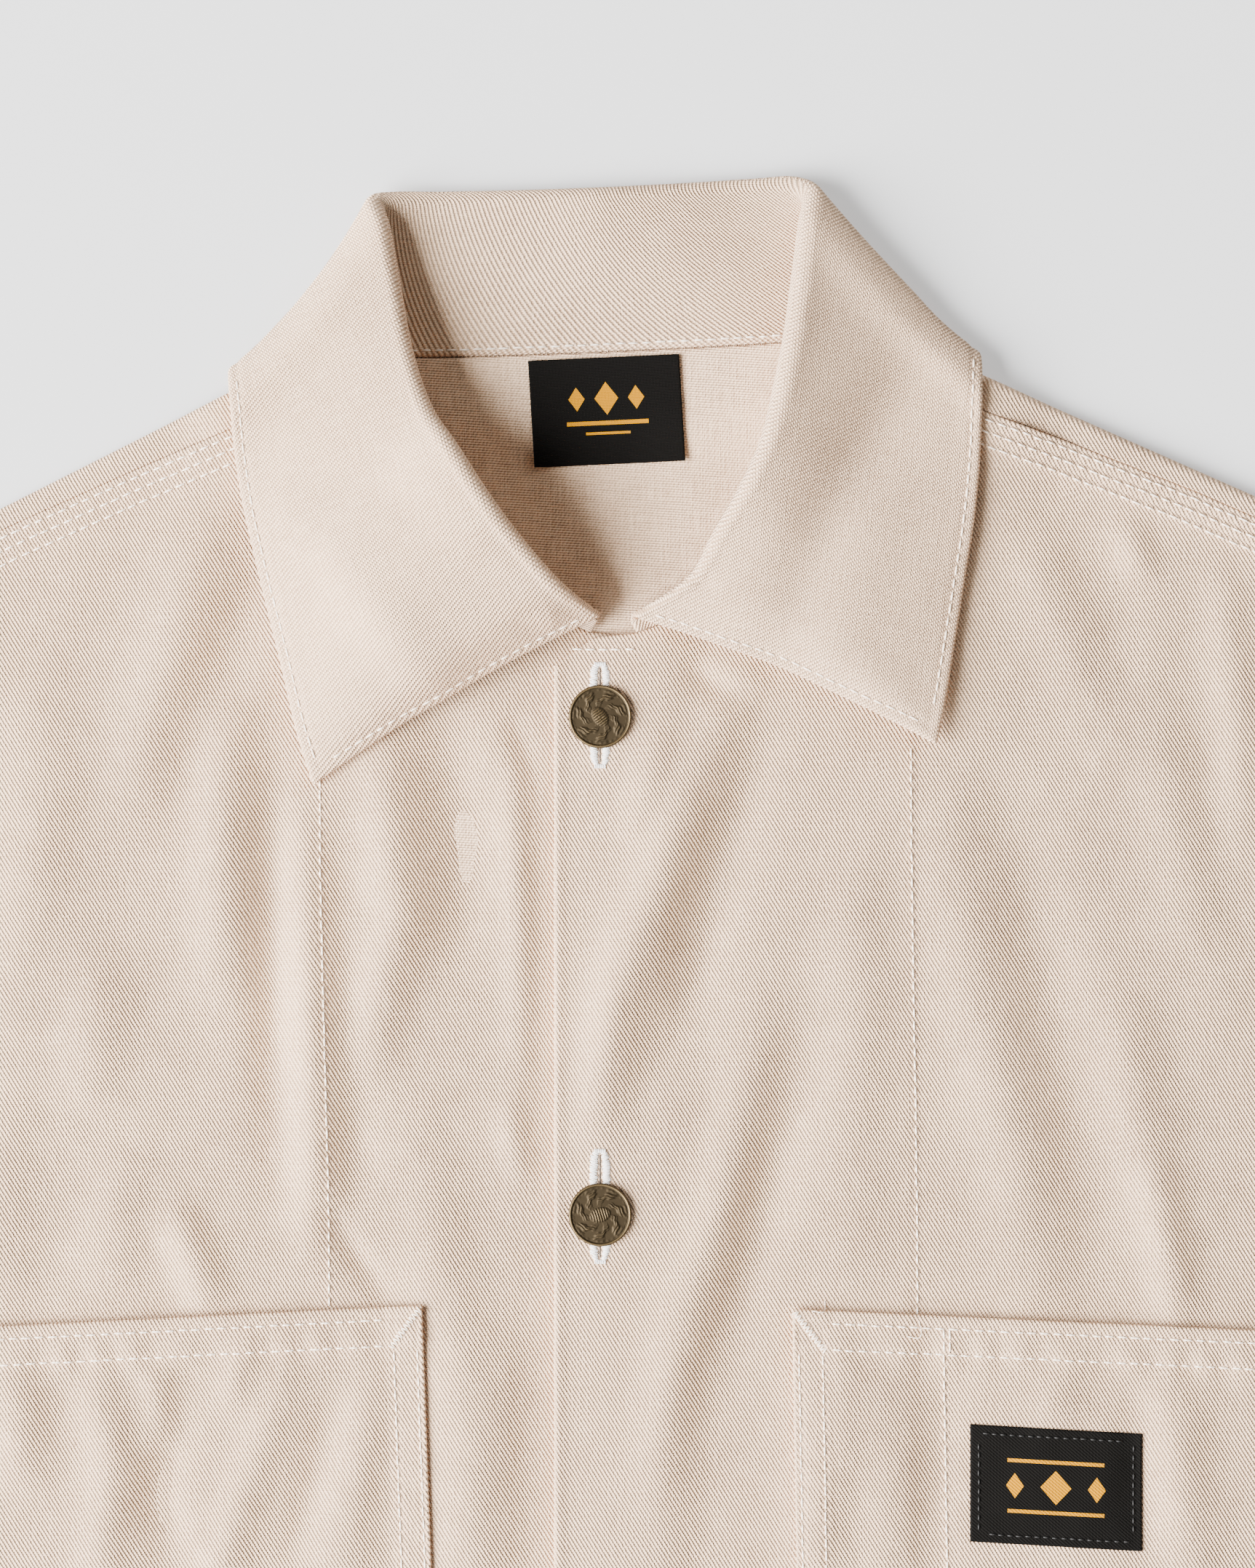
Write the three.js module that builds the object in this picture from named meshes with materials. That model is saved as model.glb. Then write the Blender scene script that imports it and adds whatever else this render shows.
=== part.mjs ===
// Chore jacket in cotton twill, buttoned and laid flat on its back, in millimetres.
// X runs to the wearer's left, Y from hem to collar, Z up. The garment's own zero is on the button
// line at the height of the collar's shoulder points, and the whole is moved to its box's centre.
import * as THREE from "three";

const CLOTH = 1.2;
const COLLAR_THICKNESS = 2.2;
const LABEL_THICKNESS = 1.0;
const SEAM_GAP = 0.3;
const NECK_GAP = 0.5;
const ARMHOLE_GAP = 0.6;
const ARMHOLE_REACH = 5;
const UNDERARM_STEP = 2.2;
const BACK_Z = CLOTH / 2;
const FRONT_Z = CLOTH * 1.5 + SEAM_GAP;
const OVERLAP_Z = CLOTH * 2.5 + SEAM_GAP * 2;

const COLLAR_TOP_Y = 56.5;
const HEM_Y = -733;
const HEM_HALF_WIDTH = 288;
const UNDERARM = [284, -300];
const BOX_CENTRE_Y = (COLLAR_TOP_Y + HEM_Y) / 2;

const SHOULDER_FOLD_RADIUS = 1.7;
const SHOULDER_TIP_X = 236;
const SEAM_SPREAD = 1.2;
const SHOULDER = {
  right: { neckX: -80.3, neckY: 7.6, slope: 0.505 },
  left: { neckX: 78.6, neckY: 13.2, slope: 0.442 },
};
// Width of the back piece's strip in front of the shoulder fold, by distance from the middle.
const STRIP = [
  { x: 78, width: 9.8 },
  { x: 100, width: 8.8 },
  { x: 130, width: 6.4 },
  { x: 162, width: 4.8 },
  { x: 236, width: 4.2 },
];
// Armhole seam, from the shoulder's tip down to the underarm.
const ARMHOLE = [
  { y: -40, x: 236 },
  { y: -71, x: 236 },
  { y: -100, x: 231 },
  { y: -135, x: 227.5 },
  { y: -170, x: 227.5 },
  { y: -205, x: 231.5 },
  { y: -240, x: 241 },
  { y: -270, x: 256 },
  { y: -288, x: 270 },
  { y: -300, x: 284 },
];

const FALL_LIFT = 3.0;
const FALL_AREA = { x0: -99.5, x1: 104, y0: -5.5 };
const BACK_RAMP = [0.6, 20];
const FRONT_RAMP = [6, 34];
const FRONT_AIR = 0.5;
const SHOULDER_EASE = 15;
const OVERLAP_EASE = [14.5, 30];
const PLACKET_EASE = [18, 32];
const EDGE_EASE = [2, 26];
const HEM_EASE = [2, 30];
const NECK_FOLD_X = 60;

const SLEEVE_LENGTH = 598;
const SLEEVE_ANGLE = THREE.MathUtils.degToRad(60);
const CUFF_WIDTH = 142;
const CUFF_TURN = THREE.MathUtils.degToRad(4);
const SLEEVE_HEIGHT = 5.2;
const SLEEVE_HOLLOW = 14;
const SLEEVE_DOME_SHARE = 0.45;
const SLEEVE_STEPS = [0, 0.03, 0.08, 0.15, 0.24, 0.34, 0.45, 0.56, 0.67, 0.78, 0.89, 1];
const UNDERARM_BEND = [-50, 0, 50].map(THREE.MathUtils.degToRad);

const BUTTON_YS = [-89.3, -223.1, -356.9, -490.7, -624.5];
const BUTTON_SIDES = 22;
const BUTTON_PROFILE = [
  { r: 4.2, z: 0 },
  { r: 4.2, z: 0.7 },
  { r: 7.9, z: 0.9 },
  { r: 8.5, z: 1.4 },
  { r: 8.4, z: 2.1 },
  { r: 7.8, z: 2.5 },
  { r: 7.1, z: 2.4 },
  { r: 6.6, z: 2.0 },
  { r: 3.6, z: 2.5 },
];
const BUTTON_DOME_Z = 2.7;

// Collar sections, from the end at the front, over the side (turn), to the middle of the back. n is
// the neck seam, r the roll, e the free edge; bow and crown move the leaf's middle sideways and up.
const COLLAR_COLUMNS = ["nx", "ny", "nz", "rx", "ry", "rz", "ex", "ey", "ez", "bow", "crown", "fold"];
const RIGHT_COLLAR = [
  [-2.0, -66.2, 3.2, -0.6, -62.6, 6.4, -77.1, -107.8, 5.1, 2.2, 0.5, 1.5],
  [-15.5, -60.5, 3.4, -11.4, -54.3, 21.0, -78.6, -103.0, 5.6, 1.2, 1.8, 1.8],
  [-28.5, -52.0, 3.7, -22.0, -42.4, 29.5, -81.6, -92.9, 5.8, 0.4, 2.4, 2.1],
  [-41.0, -42.0, 4.2, -30.6, -30.8, 32.0, -85.2, -77.0, 6.0, 0, 2.6, 2.4],
  [-52.0, -31.0, 4.8, -38.8, -18.0, 30.5, -88.8, -62.0, 6.3, 0, 2.6, 2.6],
  [-61.0, -20.0, 6.0, -45.5, -7.5, 24.5, -92.5, -46.5, 6.8, 0, 2.6, 2.8],
  [-68.5, -9.0, 6.8, -50.6, 7.5, 20.0, -95.8, -32.0, 7.7, 0, 2.6, 2.8],
  [-74.0, 0.5, 7.2, -54.2, 26.0, 15.0, -98.0, -18.0, 8.9, -0.6, 2.3, 2.8],
  [-76.8, 6.5, 7.0, -57.2, 41.5, 12.0, -99.0, -6.5, 9.9, -1.6, 1.6, 2.6],
  [-78.6, 9.6, 5.4, -59.4, 49.0, 7.5, -99.6, 2.8, 5.4, -2.4, 0.4, 2.3],
  [-76.0, 9.0, 3.7, -54.5, 50.6, 4.8, -97.0, -2.0, 1.2, -1.4, 0, 2.2],
  [-62.0, 7.6, 3.6, -42.0, 50.8, 3.7, -78.0, -3.5, 1.1, 0, 0, 2.2],
  [-40.0, 7.6, 3.6, -26.0, 51.2, 3.6, -50.0, -4.0, 1.1, 0, 0, 2.2],
];
const LEFT_COLLAR = [
  [9.6, -66.4, 4.5, 8.6, -62.8, 7.0, 90.2, -96.9, 8.0, 2.6, 0.2, 1.5],
  [25.0, -60.6, 4.5, 24.3, -52.5, 12.5, 91.2, -92.6, 7.8, 1.6, 1.2, 1.8],
  [39.0, -50.6, 4.6, 31.6, -39.8, 16.5, 93.2, -82.0, 7.2, 0.6, 0.6, 2.1],
  [49.5, -40.0, 4.8, 38.2, -28.5, 19.5, 95.4, -68.0, 6.3, 0, 0, 2.4],
  [58.0, -29.5, 5.1, 44.0, -15.5, 20.5, 97.9, -52.0, 6.2, 0, -0.4, 2.6],
  [64.5, -18.5, 5.6, 47.3, -2.0, 19.5, 100.2, -37.5, 6.9, 0, -0.6, 2.8],
  [69.5, -7.5, 6.2, 50.4, 13.5, 17.0, 101.6, -24.0, 8.2, 0, -0.4, 2.8],
  [73.0, 2.8, 6.8, 52.8, 30.0, 13.5, 102.2, -12.0, 9.2, -0.4, 0, 2.8],
  [75.2, 9.8, 7.0, 54.6, 43.5, 11.0, 102.4, -2.0, 9.9, -0.8, 0.6, 2.6],
  [77.0, 15.2, 5.4, 55.8, 51.4, 7.5, 102.0, 7.0, 5.4, -0.6, 0.4, 2.3],
  [74.0, 14.2, 3.7, 50.6, 54.6, 4.8, 99.0, 1.5, 1.2, -0.4, 0, 2.2],
  [60.0, 12.6, 3.6, 40.0, 54.2, 3.7, 80.0, -1.0, 1.1, 0, 0, 2.2],
  [40.0, 11.0, 3.6, 25.0, 53.4, 3.6, 50.0, -2.5, 1.1, 0, 0, 2.2],
];
const BACK_COLLAR = [0, 9.0, 3.6, 0, 52.2, 3.6, 0, -3.5, 1.1, 0, 0, 2.2];
const COLLAR_STEPS = 2;
const STAND_STEPS = 3;
const ROLL_ANGLES = [-90, -50, -15, 15, 50, 90].map(THREE.MathUtils.degToRad);
const FALL_STEPS = 6;
const NECK_STATIONS = 7;

// Grid columns of the fronts below the neck; the last two follow the armhole and side seam.
const RIGHT_COLUMNS = [12.4, -2, -16, -30, -46, -61, -76, -91, -106, -122, -138, -154, -170, -184, -197];
const LEFT_COLUMNS = [-12.4, 1, 14.5, 27, 38, 52.5, 66, 80, 94, 108, 124, 140, 156, 172, 188, 202.5];
const FRONT_LOWER_COLUMN = 0.45;
const RIGHT_COLLAR_EDGE = [[12.4, -67.3]];
const LEFT_COLLAR_EDGE = [[-12.4, -75.5], [-1.5, -67.9]];
// Grid rows of the fronts: depth below the top edge where they still follow it, and final height.
const FRONT_ROWS = [
  { y: -60, drop: 0, follow: 1, tilt: 0 },
  { y: -70, drop: 12, follow: 1, tilt: 0 },
  { y: -82, drop: 26, follow: 0.92, tilt: 0 },
  { y: -98, drop: 42, follow: 0.75, tilt: 0 },
  { y: -118, drop: 62, follow: 0.45, tilt: 0 },
  { y: -140, drop: 84, follow: 0.15, tilt: 0.3 },
  { y: -165, drop: 0, follow: 0, tilt: 0.6 },
  { y: -190, drop: 0, follow: 0, tilt: 0.8 },
  { y: -218, drop: 0, follow: 0, tilt: 1 },
  { y: -248.8, drop: 0, follow: 0, tilt: 1 },
  { y: -274, drop: 0, follow: 0, tilt: 1 },
  { y: -300, drop: 0, follow: 0, tilt: 0.9 },
  { y: -335, drop: 0, follow: 0, tilt: 0.8 },
  { y: -372, drop: 0, follow: 0, tilt: 0.8 },
  { y: -414, drop: 0, follow: 0, tilt: 0.8 },
  { y: -475, drop: 0, follow: 0, tilt: 0.4 },
  { y: -550, drop: 0, follow: 0, tilt: 0 },
  { y: -640, drop: 0, follow: 0, tilt: 0 },
  { y: HEM_Y, drop: 0, follow: 0, tilt: 0 },
];
const UNDERARM_ROW = 11;
const POCKET_TILT = { right: 0.035, left: 0.046 };
const POCKET_ROWS = [9, 14];
const POCKET_INNER_X = 46;
const POCKET_GAP = 0.35;

const BACK_COLUMNS = [-140, -124, -110, -96, -80.3, -62, -40, -20, 0, 20, 40, 60, 78.6, 96, 110, 124, 140];
const BACK_NECK = [7, 15];
const BACK_ROWS = [
  { y: HEM_Y, drop: 0, follow: 0 },
  { y: -600, drop: 0, follow: 0 },
  { y: -480, drop: 0, follow: 0 },
  { y: -380, drop: 0, follow: 0 },
  { y: -300, drop: 0, follow: 0 },
  { y: -270, drop: 0, follow: 0 },
  { y: -240, drop: 0, follow: 0 },
  { y: -205, drop: 0, follow: 0 },
  { y: -165, drop: 90, follow: 0.2 },
  { y: -130, drop: 62, follow: 0.55 },
  { y: -100, drop: 42, follow: 0.85 },
  { y: 0, drop: 30, follow: 1 },
  { y: 0, drop: 22, follow: 1 },
  { y: 0, drop: 14, follow: 1 },
  { y: 0, drop: 6, follow: 1 },
  { y: 0, drop: 0, follow: 1 },
];
const WRAP_ANGLES = [-45, 0, 45, 90].map(THREE.MathUtils.degToRad);

// Largest soft ridges of the fronts: from (x0, y0) to (x1, y1), half-width and height.
const RIDGES = {
  right: [
    { x0: -84, y0: -128, x1: -79, y1: -222, w: 9, h: 2.4 },
    { x0: -56, y0: -105, x1: -28, y1: -175, w: 17, h: 2.0 },
    { x0: -112, y0: -75, x1: -135, y1: -180, w: 22, h: 1.4 },
    { x0: -70, y0: -440, x1: -60, y1: -700, w: 24, h: 2.4 },
    { x0: -170, y0: -450, x1: -190, y1: -690, w: 26, h: 2.0 },
    { x0: -235, y0: -330, x1: -215, y1: -520, w: 20, h: 2.2 },
  ],
  left: [
    { x0: 52, y0: -108, x1: 46, y1: -185, w: 15, h: 2.2 },
    { x0: 76, y0: -125, x1: 74, y1: -225, w: 13, h: 1.6 },
    { x0: 122, y0: -80, x1: 134, y1: -205, w: 15, h: 2.2 },
    { x0: 157, y0: -95, x1: 163, y1: -210, w: 13, h: 1.6 },
    { x0: 64, y0: -450, x1: 76, y1: -700, w: 24, h: 2.4 },
    { x0: 160, y0: -445, x1: 180, y1: -690, w: 26, h: 2.0 },
    { x0: 238, y0: -330, x1: 222, y1: -520, w: 20, h: 2.2 },
  ],
};
// Ridges across the sleeves, by share of length and of width, half-widths in the same shares.
const SLEEVE_RIDGES = [
  { s: 0.12, t: 0.72, ws: 0.07, wt: 0.2, h: 1.2 },
  { s: 0.34, t: 0.35, ws: 0.05, wt: 0.3, h: 1.0 },
  { s: 0.5, t: 0.68, ws: 0.05, wt: 0.28, h: 1.2 },
  { s: 0.7, t: 0.4, ws: 0.06, wt: 0.3, h: 0.8 },
];

const NECK_LABEL = {
  columns: [-19.4, 0, 21.2],
  rows: [0, 6, 14, 22, 28.6],
  top: 7.2,
  rise: 0.045,
  lean: -0.06,
};
const CHEST_LABEL = {
  columns: [99.4, 108, 124, 140, 145.6],
  rows: [0, 0.65, 1],
  top: -279.4,
  height: 31.6,
  tilt: 0.0575,
};
const LABEL_LIFT = (CLOTH + LABEL_THICKNESS) / 2 + SEAM_GAP;

const CLOTH_LOOK = { color: 0xe4d6ca, roughness: 0.92, metalness: 0 };
const LABEL_LOOK = { color: 0x202124, roughness: 0.6, metalness: 0 };
const BUTTON_LOOK = { color: 0x4f432f, roughness: 0.42, metalness: 0.9 };

const { lerp, clamp, smoothstep } = THREE.MathUtils;
const bell = (distance, width) => Math.exp(-((distance / width) ** 2));

/** Straight-line reading of a table, rows sorted by the first key either way. */
function read(table, key, value, at) {
  const rising = table[table.length - 1][key] > table[0][key];
  const rows = rising ? table : [...table].reverse();
  const k = clamp(rows.findIndex((row) => row[key] >= at), 1, rows.length - 1);
  const [a, b] = at >= rows[rows.length - 1][key] ? rows.slice(-2) : [rows[k - 1], rows[k]];
  return lerp(a[value], b[value], clamp((at - a[key]) / (b[key] - a[key]), 0, 1));
}

/** Closed body from corner points and the triangles between them, unused points left out. */
function body(name, points, triangles, look) {
  const used = new Map();
  const positions = [];
  const index = triangles.flat().map((p) => {
    if (!used.has(p)) {
      used.set(p, used.size);
      positions.push(points[p][0], points[p][1] - BOX_CENTRE_Y, Math.max(points[p][2], 0));
    }
    return used.get(p);
  });
  const geometry = new THREE.BufferGeometry();
  geometry.setAttribute("position", new THREE.Float32BufferAttribute(positions, 3));
  geometry.setIndex(index);
  geometry.computeVertexNormals();
  const mesh = new THREE.Mesh(geometry, new THREE.MeshStandardMaterial(look));
  mesh.name = name;
  return mesh;
}

/** Normals of a grid of points: the sum of the normals of the used cells round each one. */
function gridNormals(grid, loop, used) {
  const rows = grid.length;
  const columns = grid[0].length;
  const normals = grid.map((row) => row.map(() => new THREE.Vector3()));
  const at = (i, j) => new THREE.Vector3(...grid[i][j % columns]);
  for (let i = 0; i < rows - 1; i++) {
    for (let j = 0; j < (loop ? columns : columns - 1); j++) {
      if (!used(i, j)) continue;
      const across = at(i, j + 1).sub(at(i + 1, j));
      const along = at(i + 1, j + 1).sub(at(i, j));
      const normal = along.cross(across).normalize();
      for (const [a, b] of [[i, j], [i + 1, j], [i, j + 1], [i + 1, j + 1]]) {
        normals[a][b % columns].add(normal);
      }
    }
  }
  return normals.map((row) => row.map((n) => n.normalize()));
}

/**
 * Closed wall round a grid of middle points, half the thickness to each side. A grid that is a loop
 * joins its last column to its first. Cells that are not used are left open and walled round.
 */
function wall(name, grid, thickness, look, { loop = false, used = () => true } = {}) {
  const rows = grid.length;
  const columns = grid[0].length;
  const lastColumn = loop ? columns : columns - 1;
  const normals = gridNormals(grid, loop, used);
  const side = (sign) =>
    grid.flatMap((row, i) =>
      row.map((p, j) => p.map((v, k) => v + (sign * thickness * normals[i][j].getComponent(k)) / 2)),
    );
  const points = [...side(1), ...side(-1)];
  const outer = (i, j) => i * columns + (j % columns);
  const inner = (i, j) => rows * columns + outer(i, j);
  const inUse = (i, j) => {
    if (loop) return i >= 0 && i < rows - 1 && used(i, (j + columns) % columns);
    return i >= 0 && j >= 0 && i < rows - 1 && j < lastColumn && used(i, j);
  };
  const triangles = [];
  const quad = (a, b, c, d) => triangles.push([a, b, c], [a, c, d]);
  const close = (a, b) => quad(outer(...a), inner(...a), inner(...b), outer(...b));
  for (let i = 0; i < rows - 1; i++) {
    for (let j = 0; j < lastColumn; j++) {
      if (!inUse(i, j)) continue;
      quad(outer(i, j), outer(i + 1, j), outer(i + 1, j + 1), outer(i, j + 1));
      quad(inner(i, j), inner(i, j + 1), inner(i + 1, j + 1), inner(i + 1, j));
      if (!inUse(i, j - 1)) close([i, j], [i + 1, j]);
      if (!inUse(i, j + 1)) close([i + 1, j + 1], [i, j + 1]);
      if (!inUse(i - 1, j)) close([i, j + 1], [i, j]);
      if (!inUse(i + 1, j)) close([i + 1, j], [i + 1, j + 1]);
    }
  }
  return body(name, points, triangles, look);
}

/** Middle line of a shoulder's fold at a given x, and the way from it into the panel. */
function shoulder(side, x) {
  const { neckX, neckY, slope } = SHOULDER[side];
  const length = Math.hypot(1, slope);
  const inward = [(Math.sign(x) * -slope) / length, -1 / length];
  const edgeY = neckY - slope * (Math.abs(x) - Math.abs(neckX));
  return { edge: [x + (inward[0] * CLOTH) / 2, edgeY + (inward[1] * CLOTH) / 2], inward };
}

const stepIn = ({ edge, inward }, distance) => edge.map((v, k) => v + inward[k] * distance);
const sideOf = (x) => (x < 0 ? "right" : "left");
const boundaryX = (y) =>
  y > UNDERARM[1]
    ? read(ARMHOLE, "y", "x", y)
    : lerp(UNDERARM[0], HEM_HALF_WIDTH, (y - UNDERARM[1]) / (HEM_Y - UNDERARM[1]));

/** How far the collar's fall, lying under the back of the neck, lifts the cloth above it. */
function fallLift(x, y, [from, to]) {
  const dx = Math.max(FALL_AREA.x0 - x, x - FALL_AREA.x1, 0);
  const dy = Math.max(FALL_AREA.y0 - y, 0);
  return FALL_LIFT * (1 - smoothstep(Math.hypot(dx, dy), from, to));
}

/** Height of a soft ridge laid along a line, fading over its half-width and at its ends. */
function ridge({ x0, y0, x1, y1, w, h }, x, y) {
  const length = Math.hypot(x1 - x0, y1 - y0);
  const [ux, uy] = [(x1 - x0) / length, (y1 - y0) / length];
  const along = (x - x0) * ux + (y - y0) * uy;
  const off = (x - x0) * uy - (y - y0) * ux;
  const past = Math.max(-along, along - length, 0);
  return h * bell(off, w) * bell(past, w * 1.5);
}

/** Height of a front's middle plane. */
function frontZ(side, x, y) {
  const fold = shoulder(side, Math.sign(x || 1) * Math.max(Math.abs(x), NECK_FOLD_X));
  const below = Math.max(fold.edge[1] - read(STRIP, "x", "width", Math.abs(x)) - y, 0);
  const nearShoulder = (2 * SHOULDER_FOLD_RADIUS - (FRONT_Z - CLOTH / 2)) * bell(below, SHOULDER_EASE);
  const edge = boundaryX(y) - Math.abs(x);
  const off = smoothstep(edge, ...EDGE_EASE) * smoothstep(y - HEM_Y, ...HEM_EASE);
  const clear = smoothstep(Math.abs(x), ...PLACKET_EASE) * off;
  const folds = RIDGES[side].reduce((sum, r) => sum + ridge(r, x, y), 0);
  const lap = side === "left" ? (OVERLAP_Z - FRONT_Z) * (1 - smoothstep(x, ...OVERLAP_EASE)) : 0;
  return FRONT_Z + fallLift(x, y, FRONT_RAMP) + nearShoulder + lap + clear * (FRONT_AIR + folds);
}

const collarRow = (values) => Object.fromEntries(COLLAR_COLUMNS.map((key, k) => [key, values[k]]));

/** Collar sections all round, with smooth steps between the rows of the tables. */
function collarStations() {
  const rows = [...RIGHT_COLLAR, BACK_COLLAR, ...[...LEFT_COLLAR].reverse()];
  const at = (k) => rows[clamp(k, 0, rows.length - 1)];
  const stations = [];
  for (let k = 0; k < rows.length - 1; k++) {
    for (let step = 0; step < COLLAR_STEPS; step++) {
      const t = step / COLLAR_STEPS;
      stations.push(
        at(k).map((b, c) => {
          const [a, d, e] = [at(k - 1)[c], at(k + 1)[c], at(k + 2)[c]];
          const bend = 2 * a - 5 * b + 4 * d - e + (3 * (b - d) + e - a) * t;
          return b + 0.5 * t * (d - a + t * bend);
        }),
      );
    }
  }
  return [...stations, rows[rows.length - 1]].map(collarRow);
}

/** One section of the collar: up the stand, round the roll, and out along the fall. */
function collarSection(row, bowSide) {
  const [neck, roll, edge] = ["n", "r", "e"].map(
    (key) => new THREE.Vector3(row[key + "x"], row[key + "y"], row[key + "z"]),
  );
  const out = edge.clone().sub(roll);
  const sideways = new THREE.Vector3(out.y, -out.x, 0).normalize().multiplyScalar(row.bow * bowSide);
  const control = roll.clone().add(edge).multiplyScalar(0.5).addScaledVector(sideways, 2);
  control.z += 2 * row.crown;
  const toNeck = neck.clone().sub(roll).normalize();
  const toFall = control.clone().sub(roll).normalize();
  const centreWay = toNeck.clone().add(toFall).normalize();
  const across = toFall.clone().addScaledVector(centreWay, -toFall.dot(centreWay)).normalize();
  const centre = roll.clone().addScaledVector(centreWay, row.fold);
  const bend = ROLL_ANGLES.map((angle) =>
    centre
      .clone()
      .addScaledVector(across, row.fold * Math.sin(angle))
      .addScaledVector(centreWay, -row.fold * Math.cos(angle)),
  );
  const stand = Array.from({ length: STAND_STEPS }, (_, k) =>
    neck.clone().lerp(bend[0], k / STAND_STEPS),
  );
  const start = bend[bend.length - 1];
  const fall = Array.from({ length: FALL_STEPS }, (_, k) => {
    const t = (k + 1) / FALL_STEPS;
    return start
      .clone()
      .multiplyScalar((1 - t) ** 2)
      .addScaledVector(control, 2 * t * (1 - t))
      .addScaledVector(edge, t * t);
  });
  return [...stand, ...bend, ...fall].map(({ x, y, z }) => [x, y, Math.max(z, COLLAR_THICKNESS / 2)]);
}

/** Top edge of a front: the overlap's corner, the neck seam and the shoulder seam. */
function frontTop(side) {
  const table = side === "right" ? RIGHT_COLLAR : LEFT_COLLAR;
  const start = side === "right" ? RIGHT_COLLAR_EDGE : LEFT_COLLAR_EDGE;
  const outX = side === "right" ? -1 : 1;
  const neck = table.slice(0, NECK_STATIONS).map(([x, y], k) => {
    const next = table[k + 1];
    const last = table[Math.max(k - 1, 0)];
    const [dx, dy] = [next[0] - last[0], next[1] - last[1]];
    const length = Math.hypot(dx, dy);
    return [x + (outX * Math.abs(dy) * NECK_GAP) / length, y - (Math.abs(dx) * NECK_GAP) / length];
  });
  const columns = side === "right" ? RIGHT_COLUMNS : LEFT_COLUMNS;
  const left = columns.length + 2 - start.length - NECK_STATIONS;
  const neckX = Math.abs(SHOULDER[side].neckX);
  const seam = Array.from({ length: left }, (_, k) => {
    const reach = lerp(neckX, SHOULDER_TIP_X, (k / (left - 1)) ** SEAM_SPREAD);
    const x = outX * reach;
    return stepIn(shoulder(side, x), read(STRIP, "x", "width", reach) + SEAM_GAP);
  });
  return [...start, ...neck, ...seam];
}

/** Grid of a front's middle points. */
function frontGrid(side) {
  const top = frontTop(side);
  const columns = side === "right" ? RIGHT_COLUMNS : LEFT_COLUMNS;
  const sign = side === "right" ? -1 : 1;
  const last = Math.abs(columns[columns.length - 1]);
  return FRONT_ROWS.map(({ y, drop, follow, tilt }) =>
    top.map(([topX, topY], j) => {
      const pastPocketEdge = Math.max(Math.abs(columns[j] ?? last) - POCKET_INNER_X, 0);
      const lowY = y - tilt * POCKET_TILT[side] * pastPocketEdge;
      const gridY = y === HEM_Y ? HEM_Y : lerp(lowY, topY - drop, follow);
      const limit = boundaryX(gridY) - SEAM_GAP / 2;
      const below = columns[j] ?? sign * lerp(last, limit, j === columns.length ? FRONT_LOWER_COLUMN : 1);
      const wanted = lerp(below, topX, smoothstep(follow, 0, 1));
      const gridX = j === top.length - 1 ? sign * limit : wanted;
      return [gridX, gridY, frontZ(side, gridX, gridY)];
    }),
  );
}

/** Point of a grid at a fraction between its rows and columns, moved up by a given height. */
function onGrid(grid, fi, fj, lift) {
  const i = Math.min(Math.floor(fi), grid.length - 2);
  const j = Math.min(Math.floor(fj), grid[0].length - 2);
  const mix = (row) => grid[row][j].map((v, k) => lerp(v, grid[row][j + 1][k], fj - j));
  const below = mix(i + 1);
  return mix(i).map((v, k) => lerp(v, below[k], fi - i) + (k === 2 ? lift : 0));
}

/** Pocket made from the front's own points, moved out. */
function pocket(side, grid) {
  const columns = side === "right" ? RIGHT_COLUMNS : LEFT_COLUMNS;
  const sign = side === "right" ? -1 : 1;
  const first = columns.findIndex((x) => sign * x >= POCKET_INNER_X);
  const [top, bottom] = POCKET_ROWS;
  return grid
    .slice(top, bottom + 1)
    .map((row) => row.slice(first, columns.length).map(([x, y, z]) => [x, y, z + CLOTH + POCKET_GAP]));
}

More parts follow.
